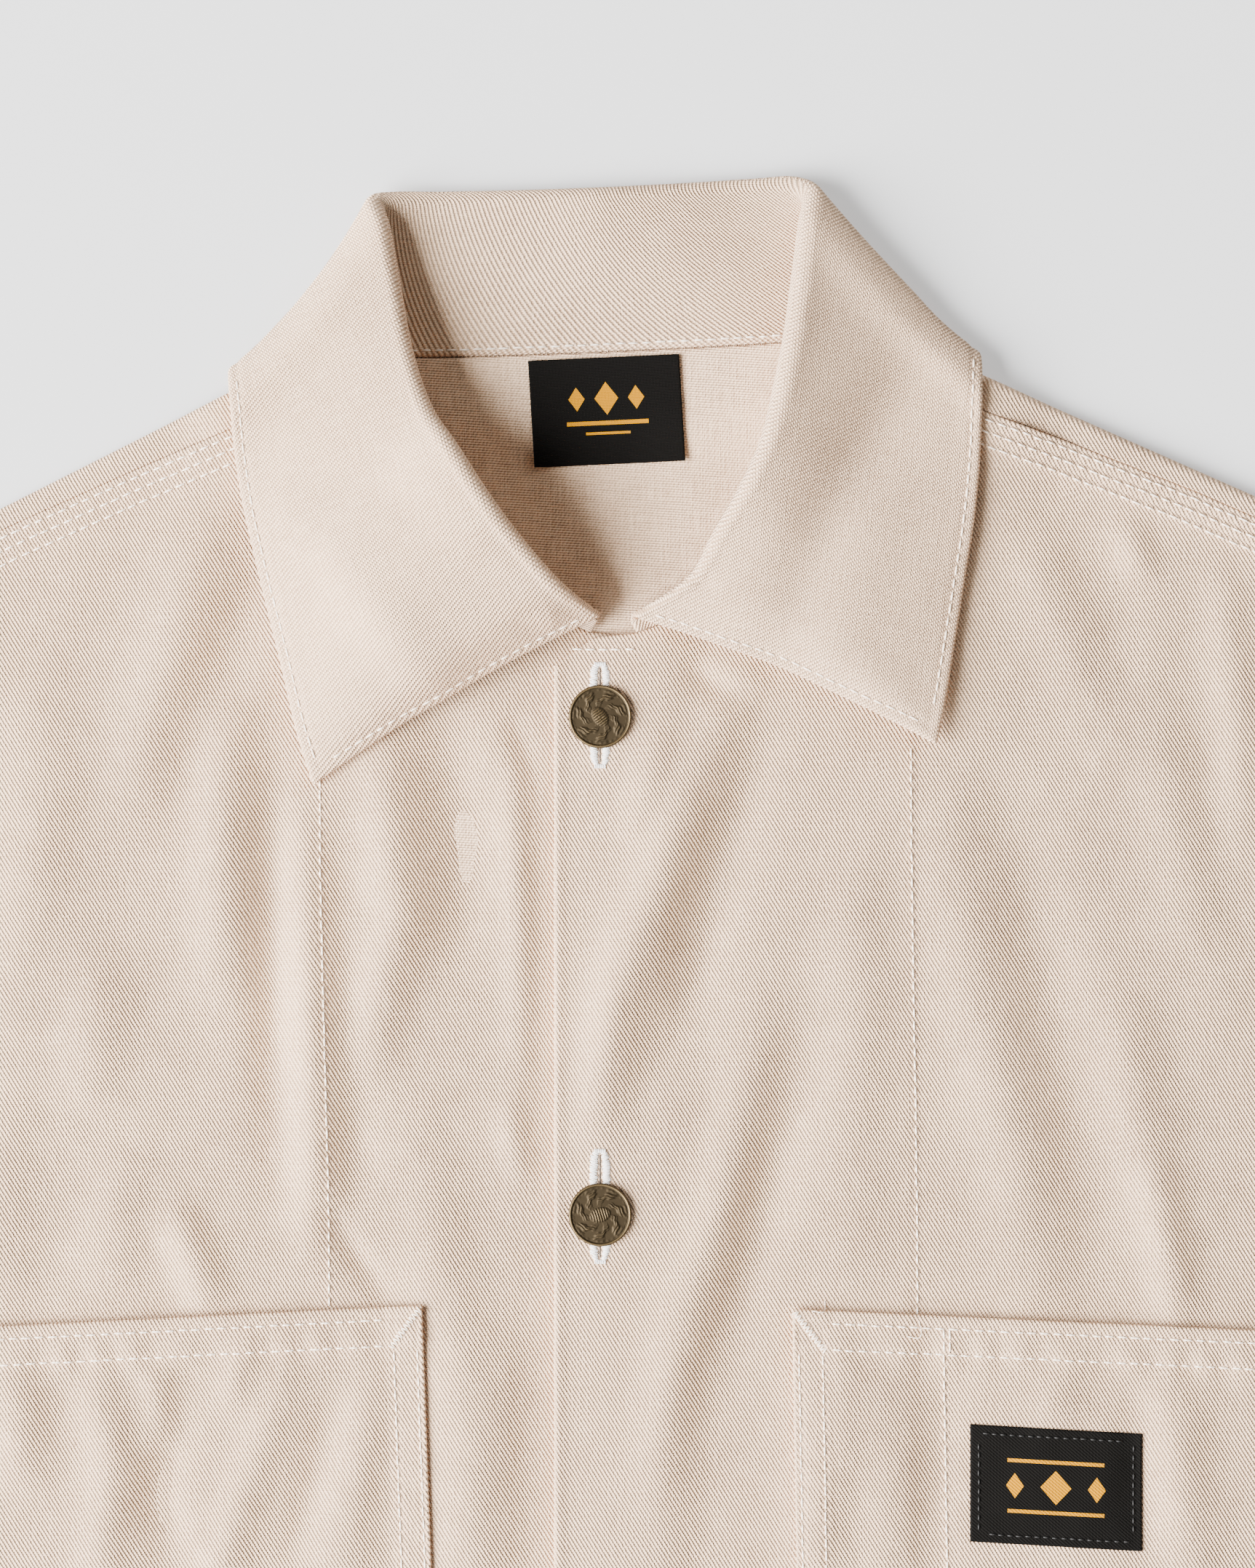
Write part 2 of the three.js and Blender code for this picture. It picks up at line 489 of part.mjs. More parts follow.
/** Back panel: flat from the hem to the top row, then round the shoulder folds to the front seams. */
function backGrid() {
  const tips = [0.5, 1];
  const inner = BACK_COLUMNS;
  const count = inner.length + 2 * tips.length;
  const reach = (j, limit) => {
    const k = j - tips.length;
    if (k >= 0 && k < inner.length) return inner[k];
    const outer = k < 0 ? -k - 1 : k - inner.length;
    return (k < 0 ? -1 : 1) * lerp(Math.abs(inner[0]), limit, tips[outer]);
  };
  const neckY = (x) => {
    const rows = [...RIGHT_COLLAR.slice(9), BACK_COLLAR, ...LEFT_COLLAR.slice(9).reverse()];
    return read(rows.map(([nx, ny]) => ({ nx, ny })), "nx", "ny", x) - NECK_GAP;
  };
  const isNeck = (j) => j > BACK_NECK[0] - 1 && j < BACK_NECK[1] - 1;
  const fold = (x) => shoulder(sideOf(x), x);
  const foldPoint = (j, distance) => {
    const x = reach(j, SHOULDER_TIP_X);
    const [foldX, foldY] = stepIn(fold(x), distance);
    return [j === 0 || j === count - 1 ? x - (Math.sign(x) * SEAM_GAP) / 2 : foldX, foldY];
  };
  const topAt = (j) => {
    const x = reach(j, SHOULDER_TIP_X);
    return isNeck(j) ? [x, neckY(x)] : foldPoint(j, SHOULDER_FOLD_RADIUS);
  };
  const flat = BACK_ROWS.map(({ y, drop, follow }) =>
    Array.from({ length: count }, (_, j) => {
      const [topX, topY] = topAt(j);
      const gridY = lerp(y, topY - drop, follow);
      const gridX = lerp(reach(j, boundaryX(gridY) - SEAM_GAP / 2), topX, follow);
      return [gridX, gridY, BACK_Z + fallLift(gridX, gridY, BACK_RAMP)];
    }),
  );
  const last = flat[flat.length - 1];
  const r = SHOULDER_FOLD_RADIUS;
  const bend = WRAP_ANGLES.map((angle) =>
    last.map(([x, y, z], j) => {
      if (isNeck(j)) return [x, y + 1, z];
      return [...foldPoint(j, r - r * Math.cos(angle)), z + r + r * Math.sin(angle)];
    }),
  );
  const strip = [0.5, 1].map((share) =>
    last.map(([x, y, z], j) => {
      if (isNeck(j)) return [x, y + 2, z];
      const width = read(STRIP, "x", "width", Math.abs(reach(j, SHOULDER_TIP_X))) - CLOTH / 2;
      return [...foldPoint(j, lerp(r, width, share)), z + 2 * r];
    }),
  );
  const used = (i, j) => i < BACK_ROWS.length - 1 || j < BACK_NECK[0] - 1 || j >= BACK_NECK[1] - 1;
  return { grid: [...flat, ...bend, ...strip], used };
}

/** Sleeve: a flattened tube that starts from the body's own armhole points and ends at the cuff. */
function sleeveGrid(side, back, front) {
  const sign = side === "right" ? -1 : 1;
  const edgeColumn = side === "right" ? 0 : back[0].length - 1;
  const backEdge = back.map((row) => row[edgeColumn]).filter(([, y]) => y >= UNDERARM[1] - 1);
  const frontEdge = front.slice(0, UNDERARM_ROW + 1).map((row) => row[row.length - 1]);
  const low = backEdge[0];
  const high = frontEdge[UNDERARM_ROW];
  const midZ = (low[2] + high[2]) / 2;
  const underarm = UNDERARM_BEND.map((angle) => {
    const reach = ((high[2] - low[2]) / 2) * Math.cos(angle);
    return [low[0], low[1] - reach, midZ - ((high[2] - low[2]) / 2) * Math.sin(angle)];
  });
  const way = [sign * Math.sin(SLEEVE_ANGLE), -Math.cos(SLEEVE_ANGLE)];
  const start = [...backEdge, ...frontEdge, ...underarm].map(([x, y, z]) => {
    const slope = (boundaryX(y + ARMHOLE_REACH) - boundaryX(y - ARMHOLE_REACH)) / (2 * ARMHOLE_REACH);
    const length = Math.hypot(1, slope);
    const onward = UNDERARM_STEP * smoothstep(-y, -UNDERARM[1] - 2 * ARMHOLE_REACH, -UNDERARM[1]);
    return [
      x + (sign * ARMHOLE_GAP) / length + way[0] * onward,
      y - (slope * ARMHOLE_GAP) / length + way[1] * onward,
      z,
    ];
  });
  const tip = shoulder(side, sign * SHOULDER_TIP_X).edge;
  const span = [low[0] - tip[0], low[1] - tip[1]];
  const spanSquared = span[0] ** 2 + span[1] ** 2;
  const shares = start.map(([x, y]) => ((x - tip[0]) * span[0] + (y - tip[1]) * span[1]) / spanSquared);
  const cuffAngle = SLEEVE_ANGLE + CUFF_TURN;
  const cuffWay = [-sign * Math.cos(cuffAngle), -Math.sin(cuffAngle)];
  const cuffTop = [tip[0] + way[0] * SLEEVE_LENGTH, tip[1] + way[1] * SLEEVE_LENGTH];
  const isUpper = (k) => start[k][2] > midZ + SHOULDER_FOLD_RADIUS * 0.2;
  return SLEEVE_STEPS.map((s) =>
    start.map(([x, y, z], k) => {
      const t = clamp(shares[k], 0, 1);
      const end = [0, 1].map((c) => cuffTop[c] + cuffWay[c] * CUFF_WIDTH * shares[k]);
      const hollow = Math.sin(Math.PI * s) * (t - 0.5) * SLEEVE_HOLLOW;
      const px = lerp(x, end[0], s) + cuffWay[0] * hollow;
      const py = lerp(y, end[1], s) + cuffWay[1] * hollow;
      const grown = smoothstep(s, 0, 0.2);
      const dome = Math.sqrt(Math.max(1 - (2 * t - 1) ** 4, 0));
      const folds = SLEEVE_RIDGES.map((r) => r.h * bell(s - r.s, r.ws) * bell(t - r.t, r.wt));
      const domed = SLEEVE_DOME_SHARE * (SLEEVE_HEIGHT - CLOTH);
      const tall = BACK_Z + SLEEVE_HEIGHT - CLOTH - domed + dome * folds.reduce((a, b) => a + b, domed);
      const share = (z - low[2]) / (isUpper(k) ? z - low[2] || 1 : 2 * SHOULDER_FOLD_RADIUS);
      const flatZ = isUpper(k) ? tall : lerp(BACK_Z, tall, clamp(share, 0, 1));
      return [px, py, lerp(z, flatZ, grown)];
    }),
  );
}

/** Button as a turned body: one ring for each row of its profile, closed at both poles. */
function button(name, y, clothTop) {
  const points = [[0, y, clothTop], [0, y, clothTop + BUTTON_DOME_Z]];
  const triangles = [];
  const ring = (k, side) => 2 + k * BUTTON_SIDES + (side % BUTTON_SIDES);
  BUTTON_PROFILE.forEach(({ r, z }) => {
    for (let side = 0; side < BUTTON_SIDES; side++) {
      const angle = (2 * Math.PI * side) / BUTTON_SIDES;
      points.push([r * Math.cos(angle), y + r * Math.sin(angle), clothTop + z]);
    }
  });
  const last = BUTTON_PROFILE.length - 1;
  for (let side = 0; side < BUTTON_SIDES; side++) {
    triangles.push([0, ring(0, side + 1), ring(0, side)], [1, ring(last, side), ring(last, side + 1)]);
    for (let k = 0; k < last; k++) {
      const [a, b, c, d] = [ring(k, side), ring(k, side + 1), ring(k + 1, side + 1), ring(k + 1, side)];
      triangles.push([a, b, c], [a, c, d]);
    }
  }
  return body(name, points, triangles, BUTTON_LOOK);
}

/** Fraction along a line of rising or falling values where a value lies. */
function fractionAt(values, value) {
  const k = values.findIndex((v, n) => n < values.length - 1 && (value - v) * (value - values[n + 1]) <= 0);
  return k + (value - values[k]) / (values[k + 1] - values[k]);
}

/** Woven label on the left chest pocket, made from the pocket's points. */
function chestLabel(pocketGrid) {
  const { columns, rows, top, height } = CHEST_LABEL;
  const xs = pocketGrid[0].map(([x]) => x);
  return rows.map((share) =>
    columns.map((x) => {
      const fj = fractionAt(xs, x);
      const tilt = CHEST_LABEL.tilt * (x - columns[0]);
      const ys = pocketGrid.map((row, i) => onGrid(pocketGrid, i, fj, 0)[1]);
      return onGrid(pocketGrid, fractionAt(ys, top - tilt - height * share), fj, LABEL_LIFT);
    }),
  );
}

/** Woven label inside the back of the neck, made from the back panel's points. */
function neckLabel(back) {
  const rows = back.slice(0, BACK_ROWS.length);
  const xs = rows[rows.length - 1].map(([x]) => x);
  return NECK_LABEL.rows.map((drop) =>
    NECK_LABEL.columns.map((x) => {
      const shifted = x + NECK_LABEL.lean * -drop;
      const fj = fractionAt(xs, shifted);
      const ys = rows.map((row, i) => onGrid(rows, i, fj, 0)[1]);
      const y = NECK_LABEL.top + NECK_LABEL.rise * x - drop;
      return onGrid(rows, fractionAt(ys, y), fj, LABEL_LIFT);
    }),
  );
}

const stations = collarStations();
const collarGrid = stations.map((row, k) => collarSection(row, k < stations.length / 2 ? 1 : -1));
const { grid: backPoints, used: backUsed } = backGrid();
const rightFront = frontGrid("right");
const leftFront = frontGrid("left");
const rightPocket = pocket("right", rightFront);
const leftPocket = pocket("left", leftFront);
const flip = (grid) => grid.map((row) => [...row].reverse());

const jacket = new THREE.Group();
jacket.name = "chore_jacket";
jacket.add(
  wall("back", flip(backPoints), CLOTH, CLOTH_LOOK, {
    used: (i, j) => backUsed(i, backPoints[0].length - 2 - j),
  }),
  wall("right_front", flip(rightFront), CLOTH, CLOTH_LOOK),
  wall("left_front", leftFront, CLOTH, CLOTH_LOOK),
  wall("right_sleeve", sleeveGrid("right", backPoints, rightFront), CLOTH, CLOTH_LOOK, { loop: true }),
  wall("left_sleeve", flip(sleeveGrid("left", backPoints, leftFront)), CLOTH, CLOTH_LOOK, { loop: true }),
  wall("collar", collarGrid, COLLAR_THICKNESS, CLOTH_LOOK),
  wall("right_chest_pocket", flip(rightPocket), CLOTH, CLOTH_LOOK),
  wall("left_chest_pocket", leftPocket, CLOTH, CLOTH_LOOK),
  wall("neck_label", neckLabel(backPoints), LABEL_THICKNESS, LABEL_LOOK),
  wall("chest_label", chestLabel(leftPocket), LABEL_THICKNESS, LABEL_LOOK),
  ...BUTTON_YS.map((y, k) => button(`button_${k + 1}`, y, OVERLAP_Z + CLOTH / 2 + SEAM_GAP)),
);

export default jacket;
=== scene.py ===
import math

import bpy
import numpy as np
from bpy.props import FloatProperty, FloatVectorProperty, PointerProperty
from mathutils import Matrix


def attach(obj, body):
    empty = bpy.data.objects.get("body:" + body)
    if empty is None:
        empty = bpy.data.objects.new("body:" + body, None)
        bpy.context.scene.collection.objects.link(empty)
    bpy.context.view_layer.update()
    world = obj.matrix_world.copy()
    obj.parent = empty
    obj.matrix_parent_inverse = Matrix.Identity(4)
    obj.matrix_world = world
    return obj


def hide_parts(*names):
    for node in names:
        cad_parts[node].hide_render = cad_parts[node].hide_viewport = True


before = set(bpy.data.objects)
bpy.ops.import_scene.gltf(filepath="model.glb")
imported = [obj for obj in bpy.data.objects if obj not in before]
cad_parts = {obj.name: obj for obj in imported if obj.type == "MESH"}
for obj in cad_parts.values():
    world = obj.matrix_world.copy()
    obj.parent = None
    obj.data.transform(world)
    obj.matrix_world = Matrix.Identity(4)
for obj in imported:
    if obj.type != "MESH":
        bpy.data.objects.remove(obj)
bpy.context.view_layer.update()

bl_info = {
    "name": "Chore jacket",
    "version": (1, 0, 0),
    "blender": (4, 5, 0),
    "location": "View3D > Sidebar > Jacket",
    "description": "Cotton twill work jacket laid flat, with its stitching, buttons and labels",
    "category": "Object",
}

# Garment sizes in millimetres. X runs to the wearer's left, Y from hem to collar, Z up from the table.
# The garment's zero is on the button line, MID_Y above the middle of the frame.
MM = 0.001
MID_Y = 338.25
CLOTH = 1.2
COLLAR_THICKNESS = 2.2
LABEL_THICKNESS = 1.0
SEAM_GAP = 0.3
NECK_GAP = 0.5
BACK_Z = CLOTH / 2
FRONT_Z = CLOTH * 1.5 + SEAM_GAP
OVERLAP_Z = CLOTH * 2.5 + SEAM_GAP * 2
HEM_Y = -733.0
HEM_HALF_WIDTH = 288.0
UNDERARM = (284.0, -300.0)
SHOULDER_FOLD_RADIUS = 1.7
SHOULDER_TIP_X = 236.0
# Shoulder folds: X and Y at the neck, and how much each falls for a millimetre outward. Then the
# width of the back's strip by X, and the armhole's Y and X.
SHOULDER = {"right": (-80.3, 7.6, 0.505), "left": (78.6, 13.2, 0.442)}
STRIP = np.array([(78, 9.8), (100, 8.8), (130, 6.4), (162, 4.8), (236, 4.2)], float)
ARMHOLE = np.array(
    [(-300, 284), (-288, 270), (-270, 256), (-240, 241), (-205, 231.5), (-170, 227.5), (-135, 227.5),
     (-100, 231), (-71, 236), (-40, 236)], float)
# Lift over the collar's fall behind the neck: X from and to, Y, and the distances where it fades.
FALL_LIFT = 3.0
FALL_AREA = (-99.5, 104.0, -5.5)
BACK_RAMP = (0.6, 20.0)
FRONT_RAMP = (6.0, 34.0)
SIDES = ("right", "left")
SIGN = {"right": -1.0, "left": 1.0}
RIM = CLOTH / 1.6
PANEL_STRAIGHT_X = {"right": 197.0, "left": 202.5}
PANEL_EDGE_X = {"right": 12.4, "left": -12.4}
PANEL_FINE_X = 178.0
BACK_FINE_X = 196.0
CHEST_TO_HEM = ((0, 13, 0.3), (13, 265, 1), (265, 340, 3), (340, 640, 6), (640, 668, 2))
FOLD_GAIN = 1.75
WAVE_HEIGHT = 0.16
WAVE_SEED = {"right": 2.1, "left": 0.4}
# Where the folds of a front begin, by X outward, and where the lap of the left one ends.
FOLD_START = {"right": (14, 26), "left": (-11, 4)}
LAP_END = (14.5, 30)
FACING_END = (83.2, 85.4)
FACING_RISE = 0.35
EDGE_ROLL = {"height": 0.7, "width": 2.2}

BUTTON_YS = (-89.3, -223.1, -356.9, -490.7, -624.5)
BUTTON_BASE_Z = OVERLAP_Z + CLOTH / 2 + SEAM_GAP
BUTTON_PROFILE = np.array(
    [(0.02, 0.0), (4.2, 0.0), (4.2, 0.7), (7.9, 0.9), (8.35, 1.1), (8.5, 1.5), (8.45, 2.0), (8.3, 2.28),
     (8.05, 2.38), (7.85, 2.3), (7.72, 2.1)], float)

SLEEVE_LENGTH = 598.0
SLEEVE_ANGLE = math.radians(60)
CUFF_WIDTH = 142.0
CUFF_TURN = math.radians(4)
SLEEVE_HEIGHT = 5.2
SLEEVE_HOLLOW = 14.0

# Collar sections from the front end, over the side, to the middle of the back: neck seam n, roll r,
# free edge e, then the leaf's sideways bow, its crown and the radius of its fold.
RIGHT_COLLAR = [
    (-2.0, -66.2, 3.2, -0.6, -62.6, 10.5, -77.1, -107.8, 5.1, 2.2, 0.5, 1.5),
    (-15.5, -60.5, 3.4, -11.4, -54.3, 24.5, -78.6, -103.0, 5.6, 1.2, 1.8, 1.8),
    (-28.5, -52.0, 3.7, -22.0, -42.4, 29.5, -81.6, -92.9, 5.8, 0.4, 2.4, 2.1),
    (-41.0, -42.0, 4.2, -30.6, -30.8, 32.0, -85.2, -77.0, 6.0, 0, 2.6, 2.4),
    (-52.0, -31.0, 4.8, -38.8, -18.0, 30.5, -88.8, -62.0, 6.3, 0, 2.6, 2.6),
    (-61.0, -20.0, 6.0, -45.5, -7.5, 24.5, -92.5, -46.5, 6.8, 0, 2.6, 2.8),
    (-68.5, -9.0, 6.8, -50.6, 7.5, 20.0, -95.8, -32.0, 7.7, 0, 2.6, 2.8),
    (-74.0, 0.5, 7.2, -54.2, 26.0, 15.0, -98.0, -18.0, 8.9, -0.6, 2.3, 2.8),
    (-76.8, 6.5, 7.0, -57.2, 41.5, 12.0, -99.0, -6.5, 9.9, -1.6, 1.6, 2.6),
    (-78.6, 9.6, 5.4, -59.4, 49.0, 7.5, -99.6, 2.8, 5.4, -2.4, 0.4, 2.3),
    (-76.0, 9.0, 3.7, -54.5, 50.6, 4.8, -97.0, -2.0, 1.2, -1.4, 0, 2.2),
    (-62.0, 7.6, 3.6, -42.0, 50.8, 3.7, -78.0, -3.5, 1.1, 0, 0, 2.2),
    (-40.0, 7.6, 3.6, -26.0, 51.2, 3.6, -50.0, -4.0, 1.1, 0, 0, 2.2),
]
LEFT_COLLAR = [
    (9.6, -66.4, 4.5, 8.6, -62.8, 7.0, 90.2, -96.9, 8.0, 2.6, 0.2, 1.5),
    (25.0, -60.6, 4.5, 24.3, -52.5, 12.5, 91.2, -92.6, 7.8, 1.6, 1.2, 1.8),
    (39.0, -50.6, 4.6, 31.6, -39.8, 16.5, 93.2, -82.0, 7.2, 0.6, 0.6, 2.1),
    (49.5, -40.0, 4.8, 38.2, -28.5, 19.5, 95.4, -68.0, 6.3, 0, 0, 2.4),
    (58.0, -29.5, 5.1, 44.0, -15.5, 20.5, 97.9, -52.0, 6.2, 0, -0.4, 2.6),
    (64.5, -18.5, 5.6, 47.3, -2.0, 19.5, 100.2, -37.5, 6.9, 0, -0.6, 2.8),
    (69.5, -7.5, 6.2, 50.4, 13.5, 17.0, 101.6, -24.0, 8.2, 0, -0.4, 2.8),
    (73.0, 2.8, 6.8, 52.8, 30.0, 13.5, 102.2, -12.0, 9.2, -0.4, 0, 2.8),
    (75.2, 9.8, 7.0, 54.6, 43.5, 11.0, 102.4, -2.0, 9.9, -0.8, 0.6, 2.6),
    (77.0, 15.2, 5.4, 55.8, 51.4, 7.5, 102.0, 7.0, 5.4, -0.6, 0.4, 2.3),
    (74.0, 14.2, 3.7, 50.6, 54.6, 4.8, 99.0, 1.5, 1.2, -0.4, 0, 2.2),
    (60.0, 12.6, 3.6, 40.0, 54.2, 3.7, 80.0, -1.0, 1.1, 0, 0, 2.2),
    (40.0, 11.0, 3.6, 25.0, 53.4, 3.6, 50.0, -2.5, 1.1, 0, 0, 2.2),
]
BACK_COLLAR = [(0, 9.0, 3.6, 0, 52.2, 3.6, 0, -3.5, 1.1, 0, 0, 2.2)]
COLLAR_ROWS = np.array(RIGHT_COLLAR + BACK_COLLAR + LEFT_COLLAR[::-1], float)
COLLAR_EDGE_START = {"right": [(12.4, -67.3)], "left": [(-12.4, -75.5), (-1.5, -67.9)]}

# Soft ridges (height above nought) and troughs (below) of the fronts: half-width, height, and the
# points of the line that each follows.
FOLDS = {
    "right": [
        (24, 2.4, (-70, -430), (-60, -710)), (26, 2.0, (-170, -440), (-190, -700)),
        (20, 2.2, (-235, -320), (-215, -530)), (9, 1.5, (-104, -30), (-114, -66), (-128, -112)),
        (8, -1.0, (-90, -45), (-102, -84), (-116, -122)), (8, 1.7, (-101, -76), (-102, -120), (-101, -172)),
        (6, -1.3, (-88, -90), (-88, -150), (-87, -222)), (6.5, 2.0, (-80, -112), (-78, -170), (-76, -238)),
        (6, -0.9, (-66, -150), (-66, -220)), (8, 2.0, (-60, -84), (-54, -144), (-62, -172), (-72, -204)),
        (8, -1.2, (-42, -86), (-36, -124), (-38, -166)), (5, 1.3, (-23, -98), (-19.5, -150), (-19, -196)),
        (5, -0.9, (-14, -92), (-13, -150), (-13, -200)),
        (9, 1.2, (-135, -150), (-138, -196)), (6, 1.5, (-116, -218), (-104, -250)),
        (9, 1.0, (-127, -205), (-132, -246)), (4, -0.8, (-76, -220), (-56, -248)),
        (9, 1.1, (-50, -190), (-40, -262), (-38, -330)), (11, 1.1, (-148, -75), (-157, -180)),
        (9, 1.2, (-30, -250), (-34, -345)), (3.5, -0.9, (-24, -88), (-14, -111)),
        (5, 0.9, (-25, -190), (-19, -216)), (10, 1.0, (-160, -190), (-164, -250)),
    ],
    "left": [
        (24, 2.4, (64, -440), (76, -710)), (26, 2.0, (160, -435), (180, -700)),
        (20, 2.2, (238, -320), (222, -530)),
        (8, 2.0, (38, -74), (31, -92), (20, -122), (3.4, -166), (-8, -210)),
        (7.5, -1.2, (48, -82), (36, -121), (23, -165), (6, -208)),
        (8, 1.8, (46, -160), (33, -216), (22, -259), (13, -306)),
        (8, -1.1, (56, -170), (44, -220), (33, -268)),
        (11, 1.3, (90, -92), (100.5, -160), (112.5, -210), (118, -262)),
        (10, -0.9, (109, -100), (120, -160), (130, -212), (134, -254)),
        (9, 0.8, (142, -58), (154, -112), (163, -160)), (9, -0.5, (158, -68), (170, -124), (176, -160)),
        (9, 0.7, (107, -28), (124, -64), (140, -104)), (9, -0.5, (121, -28), (138, -64), (152, -100)),
        (5, 1.0, (141, -34), (147, -54)), (6, 0.9, (166, -34), (171, -90), (172, -142)),
        (6, 1.5, (148, -206), (156, -256)), (10, 0.9, (71, -104), (68, -180), (67, -244)),
        (3.5, -0.8, (22, -76), (40, -86)), (9, 1.2, (62, -254), (58, -336)), (5, 0.9, (17, -92), (7, -124)),
        (8, 1.0, (139, -160), (149, -222)),
    ],
}
# The same for the collar's leaves, across the cloth as it lies.
LEAF_FOLDS = {
    "right": [
        (9, 2.4, (-84, -30), (-60, -60), (-40, -84)), (3, 0.9, (-17, -60), (-11, -64)),
        (9, -1.0, (-66, -20), (-44, -42), (-24, -62)), (7, 0.6, (-88, -25), (-80, -64)),
        (6, -0.4, (-76, -92), (-36, -86)),
    ],
    "left": [
        (10, -3.0, (90, 22), (74, -12), (62, -34), (54, -56), (46, -84)), (8, 0.7, (96, -14), (86, -74)),
        (4, 0.6, (55, 40), (48, -10)), (1.8, -0.8, (21, -53), (31, -54)), (6, 0.5, (66, -76), (86, -85)),
    ],
}
# The same for the chest pockets.
POCKET_FOLDS = {
    "right": [
        (7, 2.6, (-138, -258), (-131, -290), (-136, -330)),
        (6, -1.8, (-112, -262), (-118, -300), (-112, -330)),
        (6, 2.2, (-82, -262), (-97, -300), (-106, -335)), (8, 2.0, (-56, -262), (-66, -300), (-74, -340)),
        (5, 1.6, (-120, -256), (-117, -288)), (8, 2.6, (-160, -256), (-154, -300)),
        (5, -1.4, (-70, -270), (-84, -320)), (4, 1.1, (-97, -258), (-99, -276)),
    ],
    "left": [
        (8, 1.5, (74, -256), (78, -330)), (6, -1.2, (92, -262), (90, -330)),
        (8, 2.0, (152, -256), (160, -330)), (7, 1.2, (124, -254), (121, -284)),
        (6, 1.3, (62, -254), (64, -300)), (6, -1.2, (143, -262), (148, -320)),
    ],
}
# Ridges and troughs of the sleeves: share of the length, share of the width, the half-width of
# each in those shares, and the height.
SLEEVE_FOLDS = [
    (0.10, 0.72, 0.045, 0.22, 2.4), (0.20, 0.45, 0.03, 0.3, 1.9), (0.30, 0.75, 0.03, 0.24, 2.1),
    (0.42, 0.40, 0.028, 0.3, 1.8), (0.50, 0.70, 0.035, 0.26, 2.3), (0.62, 0.35, 0.03, 0.3, 1.6),
    (0.74, 0.60, 0.03, 0.3, 1.9), (0.86, 0.45, 0.035, 0.3, 1.5), (0.15, 0.30, 0.02, 0.3, -1.0),
    (0.36, 0.60, 0.02, 0.26, -1.1), (0.57, 0.55, 0.018, 0.24, -1.0), (0.68, 0.75, 0.02, 0.22, -0.9),
]

# Chest pockets: X and Y of the upper inner corner, X of the lower inner corner, width, and how much
# the opening drops for each millimetre outward.
POCKET = {
    "right": {"corner": (-47.8, -247.4), "foot_x": -42.0, "width": 151.0, "tilt": 0.050},
    "left": {"corner": (51.6, -248.4), "foot_x": 54.4, "width": 150.0, "tilt": 0.046},
}
POCKET_DEPTH = 165.0
POCKET_HEM = (3.5, 10.5)
POCKET_SIDE_ROWS = (1.7, 8.0)
PENCIL_SLOT_ROWS = ((40.6, POCKET_DEPTH - 8, 240), (42.2, 15, 30))
PUCKER_SEED = {"right": 2.9, "left": 0.7}
POCKET_MAP_SHIFT = np.array([3.1, 1.7])

# Stitch rows: their distances from an edge or seam, and the lines of the two facings, each from X at
# its top, drifting outward between two heights.
SEAM_ROWS = {"collar": 3.5, "shoulder": (2.0, 5.2, 8.6), "armhole": (2.0, 8.0), "hem": 14.0, "cuff": 20.0}
FACING_ROWS = {"right": (-75.4, 2.6, -104, -243), "left": (83.6, 1.8, -96, -250)}
NECK_EDGE_ROW = {"x": (-9, 12), "y": -71.2}
STAND_ROW = 1.8
STITCH_RADIUS = 0.29
STITCH_ARCH = 0.13
STITCH_COVER = 0.74
LINE_STEP = 0.25
CLOSE_LIFT = 0.02
LOOSE_LIFT = 0.06
SEAM_LIFT = 0.08
POCKET_STITCH_LIFT = 0.1

# Felled shoulder seam below the strip: its raised cloth, sunk rows and puckers.
FELL_EDGE = (9.4, 10.8)
FELL_RISE = 0.3
FELL_SINK = 0.24
FELL_PUCKER = 0.13
FELL_START = (84, 92)

# Buttonholes: reach above and below their buttons, thread spacing and size, the legs' width and half
# the gap between them. Buttons: points round, and the radius and height of the face inside the rim.
BUTTONHOLE_REACH = [(14.0, -13.2), (17.0, -12.6), (14.0, -13.2), (14.0, -13.2), (14.0, -13.2)]
BUTTONHOLE_THREAD = {"spacing": 0.46, "radius": 0.27, "arch": 0.16, "leg": 1.75, "gap": 0.62}
BUTTON_SIDES = 144
BUTTON_FACE_RADIUS = 7.6
BUTTON_FACE_Z = 1.9

# Labels: X from and to, length, Y of the top edge at X nought, its rise and the sides' lean for each
# millimetre, X where the map is nought, and the inset of the edge stitches.
NECK_LABEL = {"x": (-19.4, 21.2), "drop": 28.6, "top": 7.2, "rise": 0.045, "lean": -0.06, "map_x": 0.0}
CHEST_LABEL = {"x": (99.4, 145.6), "drop": 31.6, "top": -273.6845, "rise": -0.0575, "lean": 0.0,
               "map_x": 99.4, "inset": 2.3}
LABEL_RIM = 0.5
LABEL_WALL = 0.42
LABEL_STITCH = 2.4

# Loose thread ends: where each starts, its front and its random seed.
THREAD_TAILS = [((85.4, -251.5), "left", 1), ((60.4, -245.8), "left", 2)]

# Middle of the pictured window in garment millimetres, its height, and the camera's distance.
VIEW = {"x": 7.35, "y": -107.4, "height": 422.7, "distance": 1600.0}
SENSOR = 36.0
FLOOR = {"reach": 6.0, "z": -0.0004, "tone": 0.42, "glow": 0.56}
SKY = 0.19
# Soft lights in metres and watts: place from the middle of the window, size and power.
LIGHTS = {
    "key": ((-2.35, -0.72, 1.74), 2.5, 880),
    "fill": ((-0.9, -2.2, 1.5), 1.6, 34),
    "rim": ((1.9, 1.5, 1.7), 2.0, 26),
}


def smooth(value, low, high):
    """Smooth step: 3t² − 2t³ with t the share of the way from low to high, kept to 0 … 1."""
    t = np.clip((np.asarray(value, float) - low) / (high - low), 0, 1)
    return t * t * (3 - 2 * t)


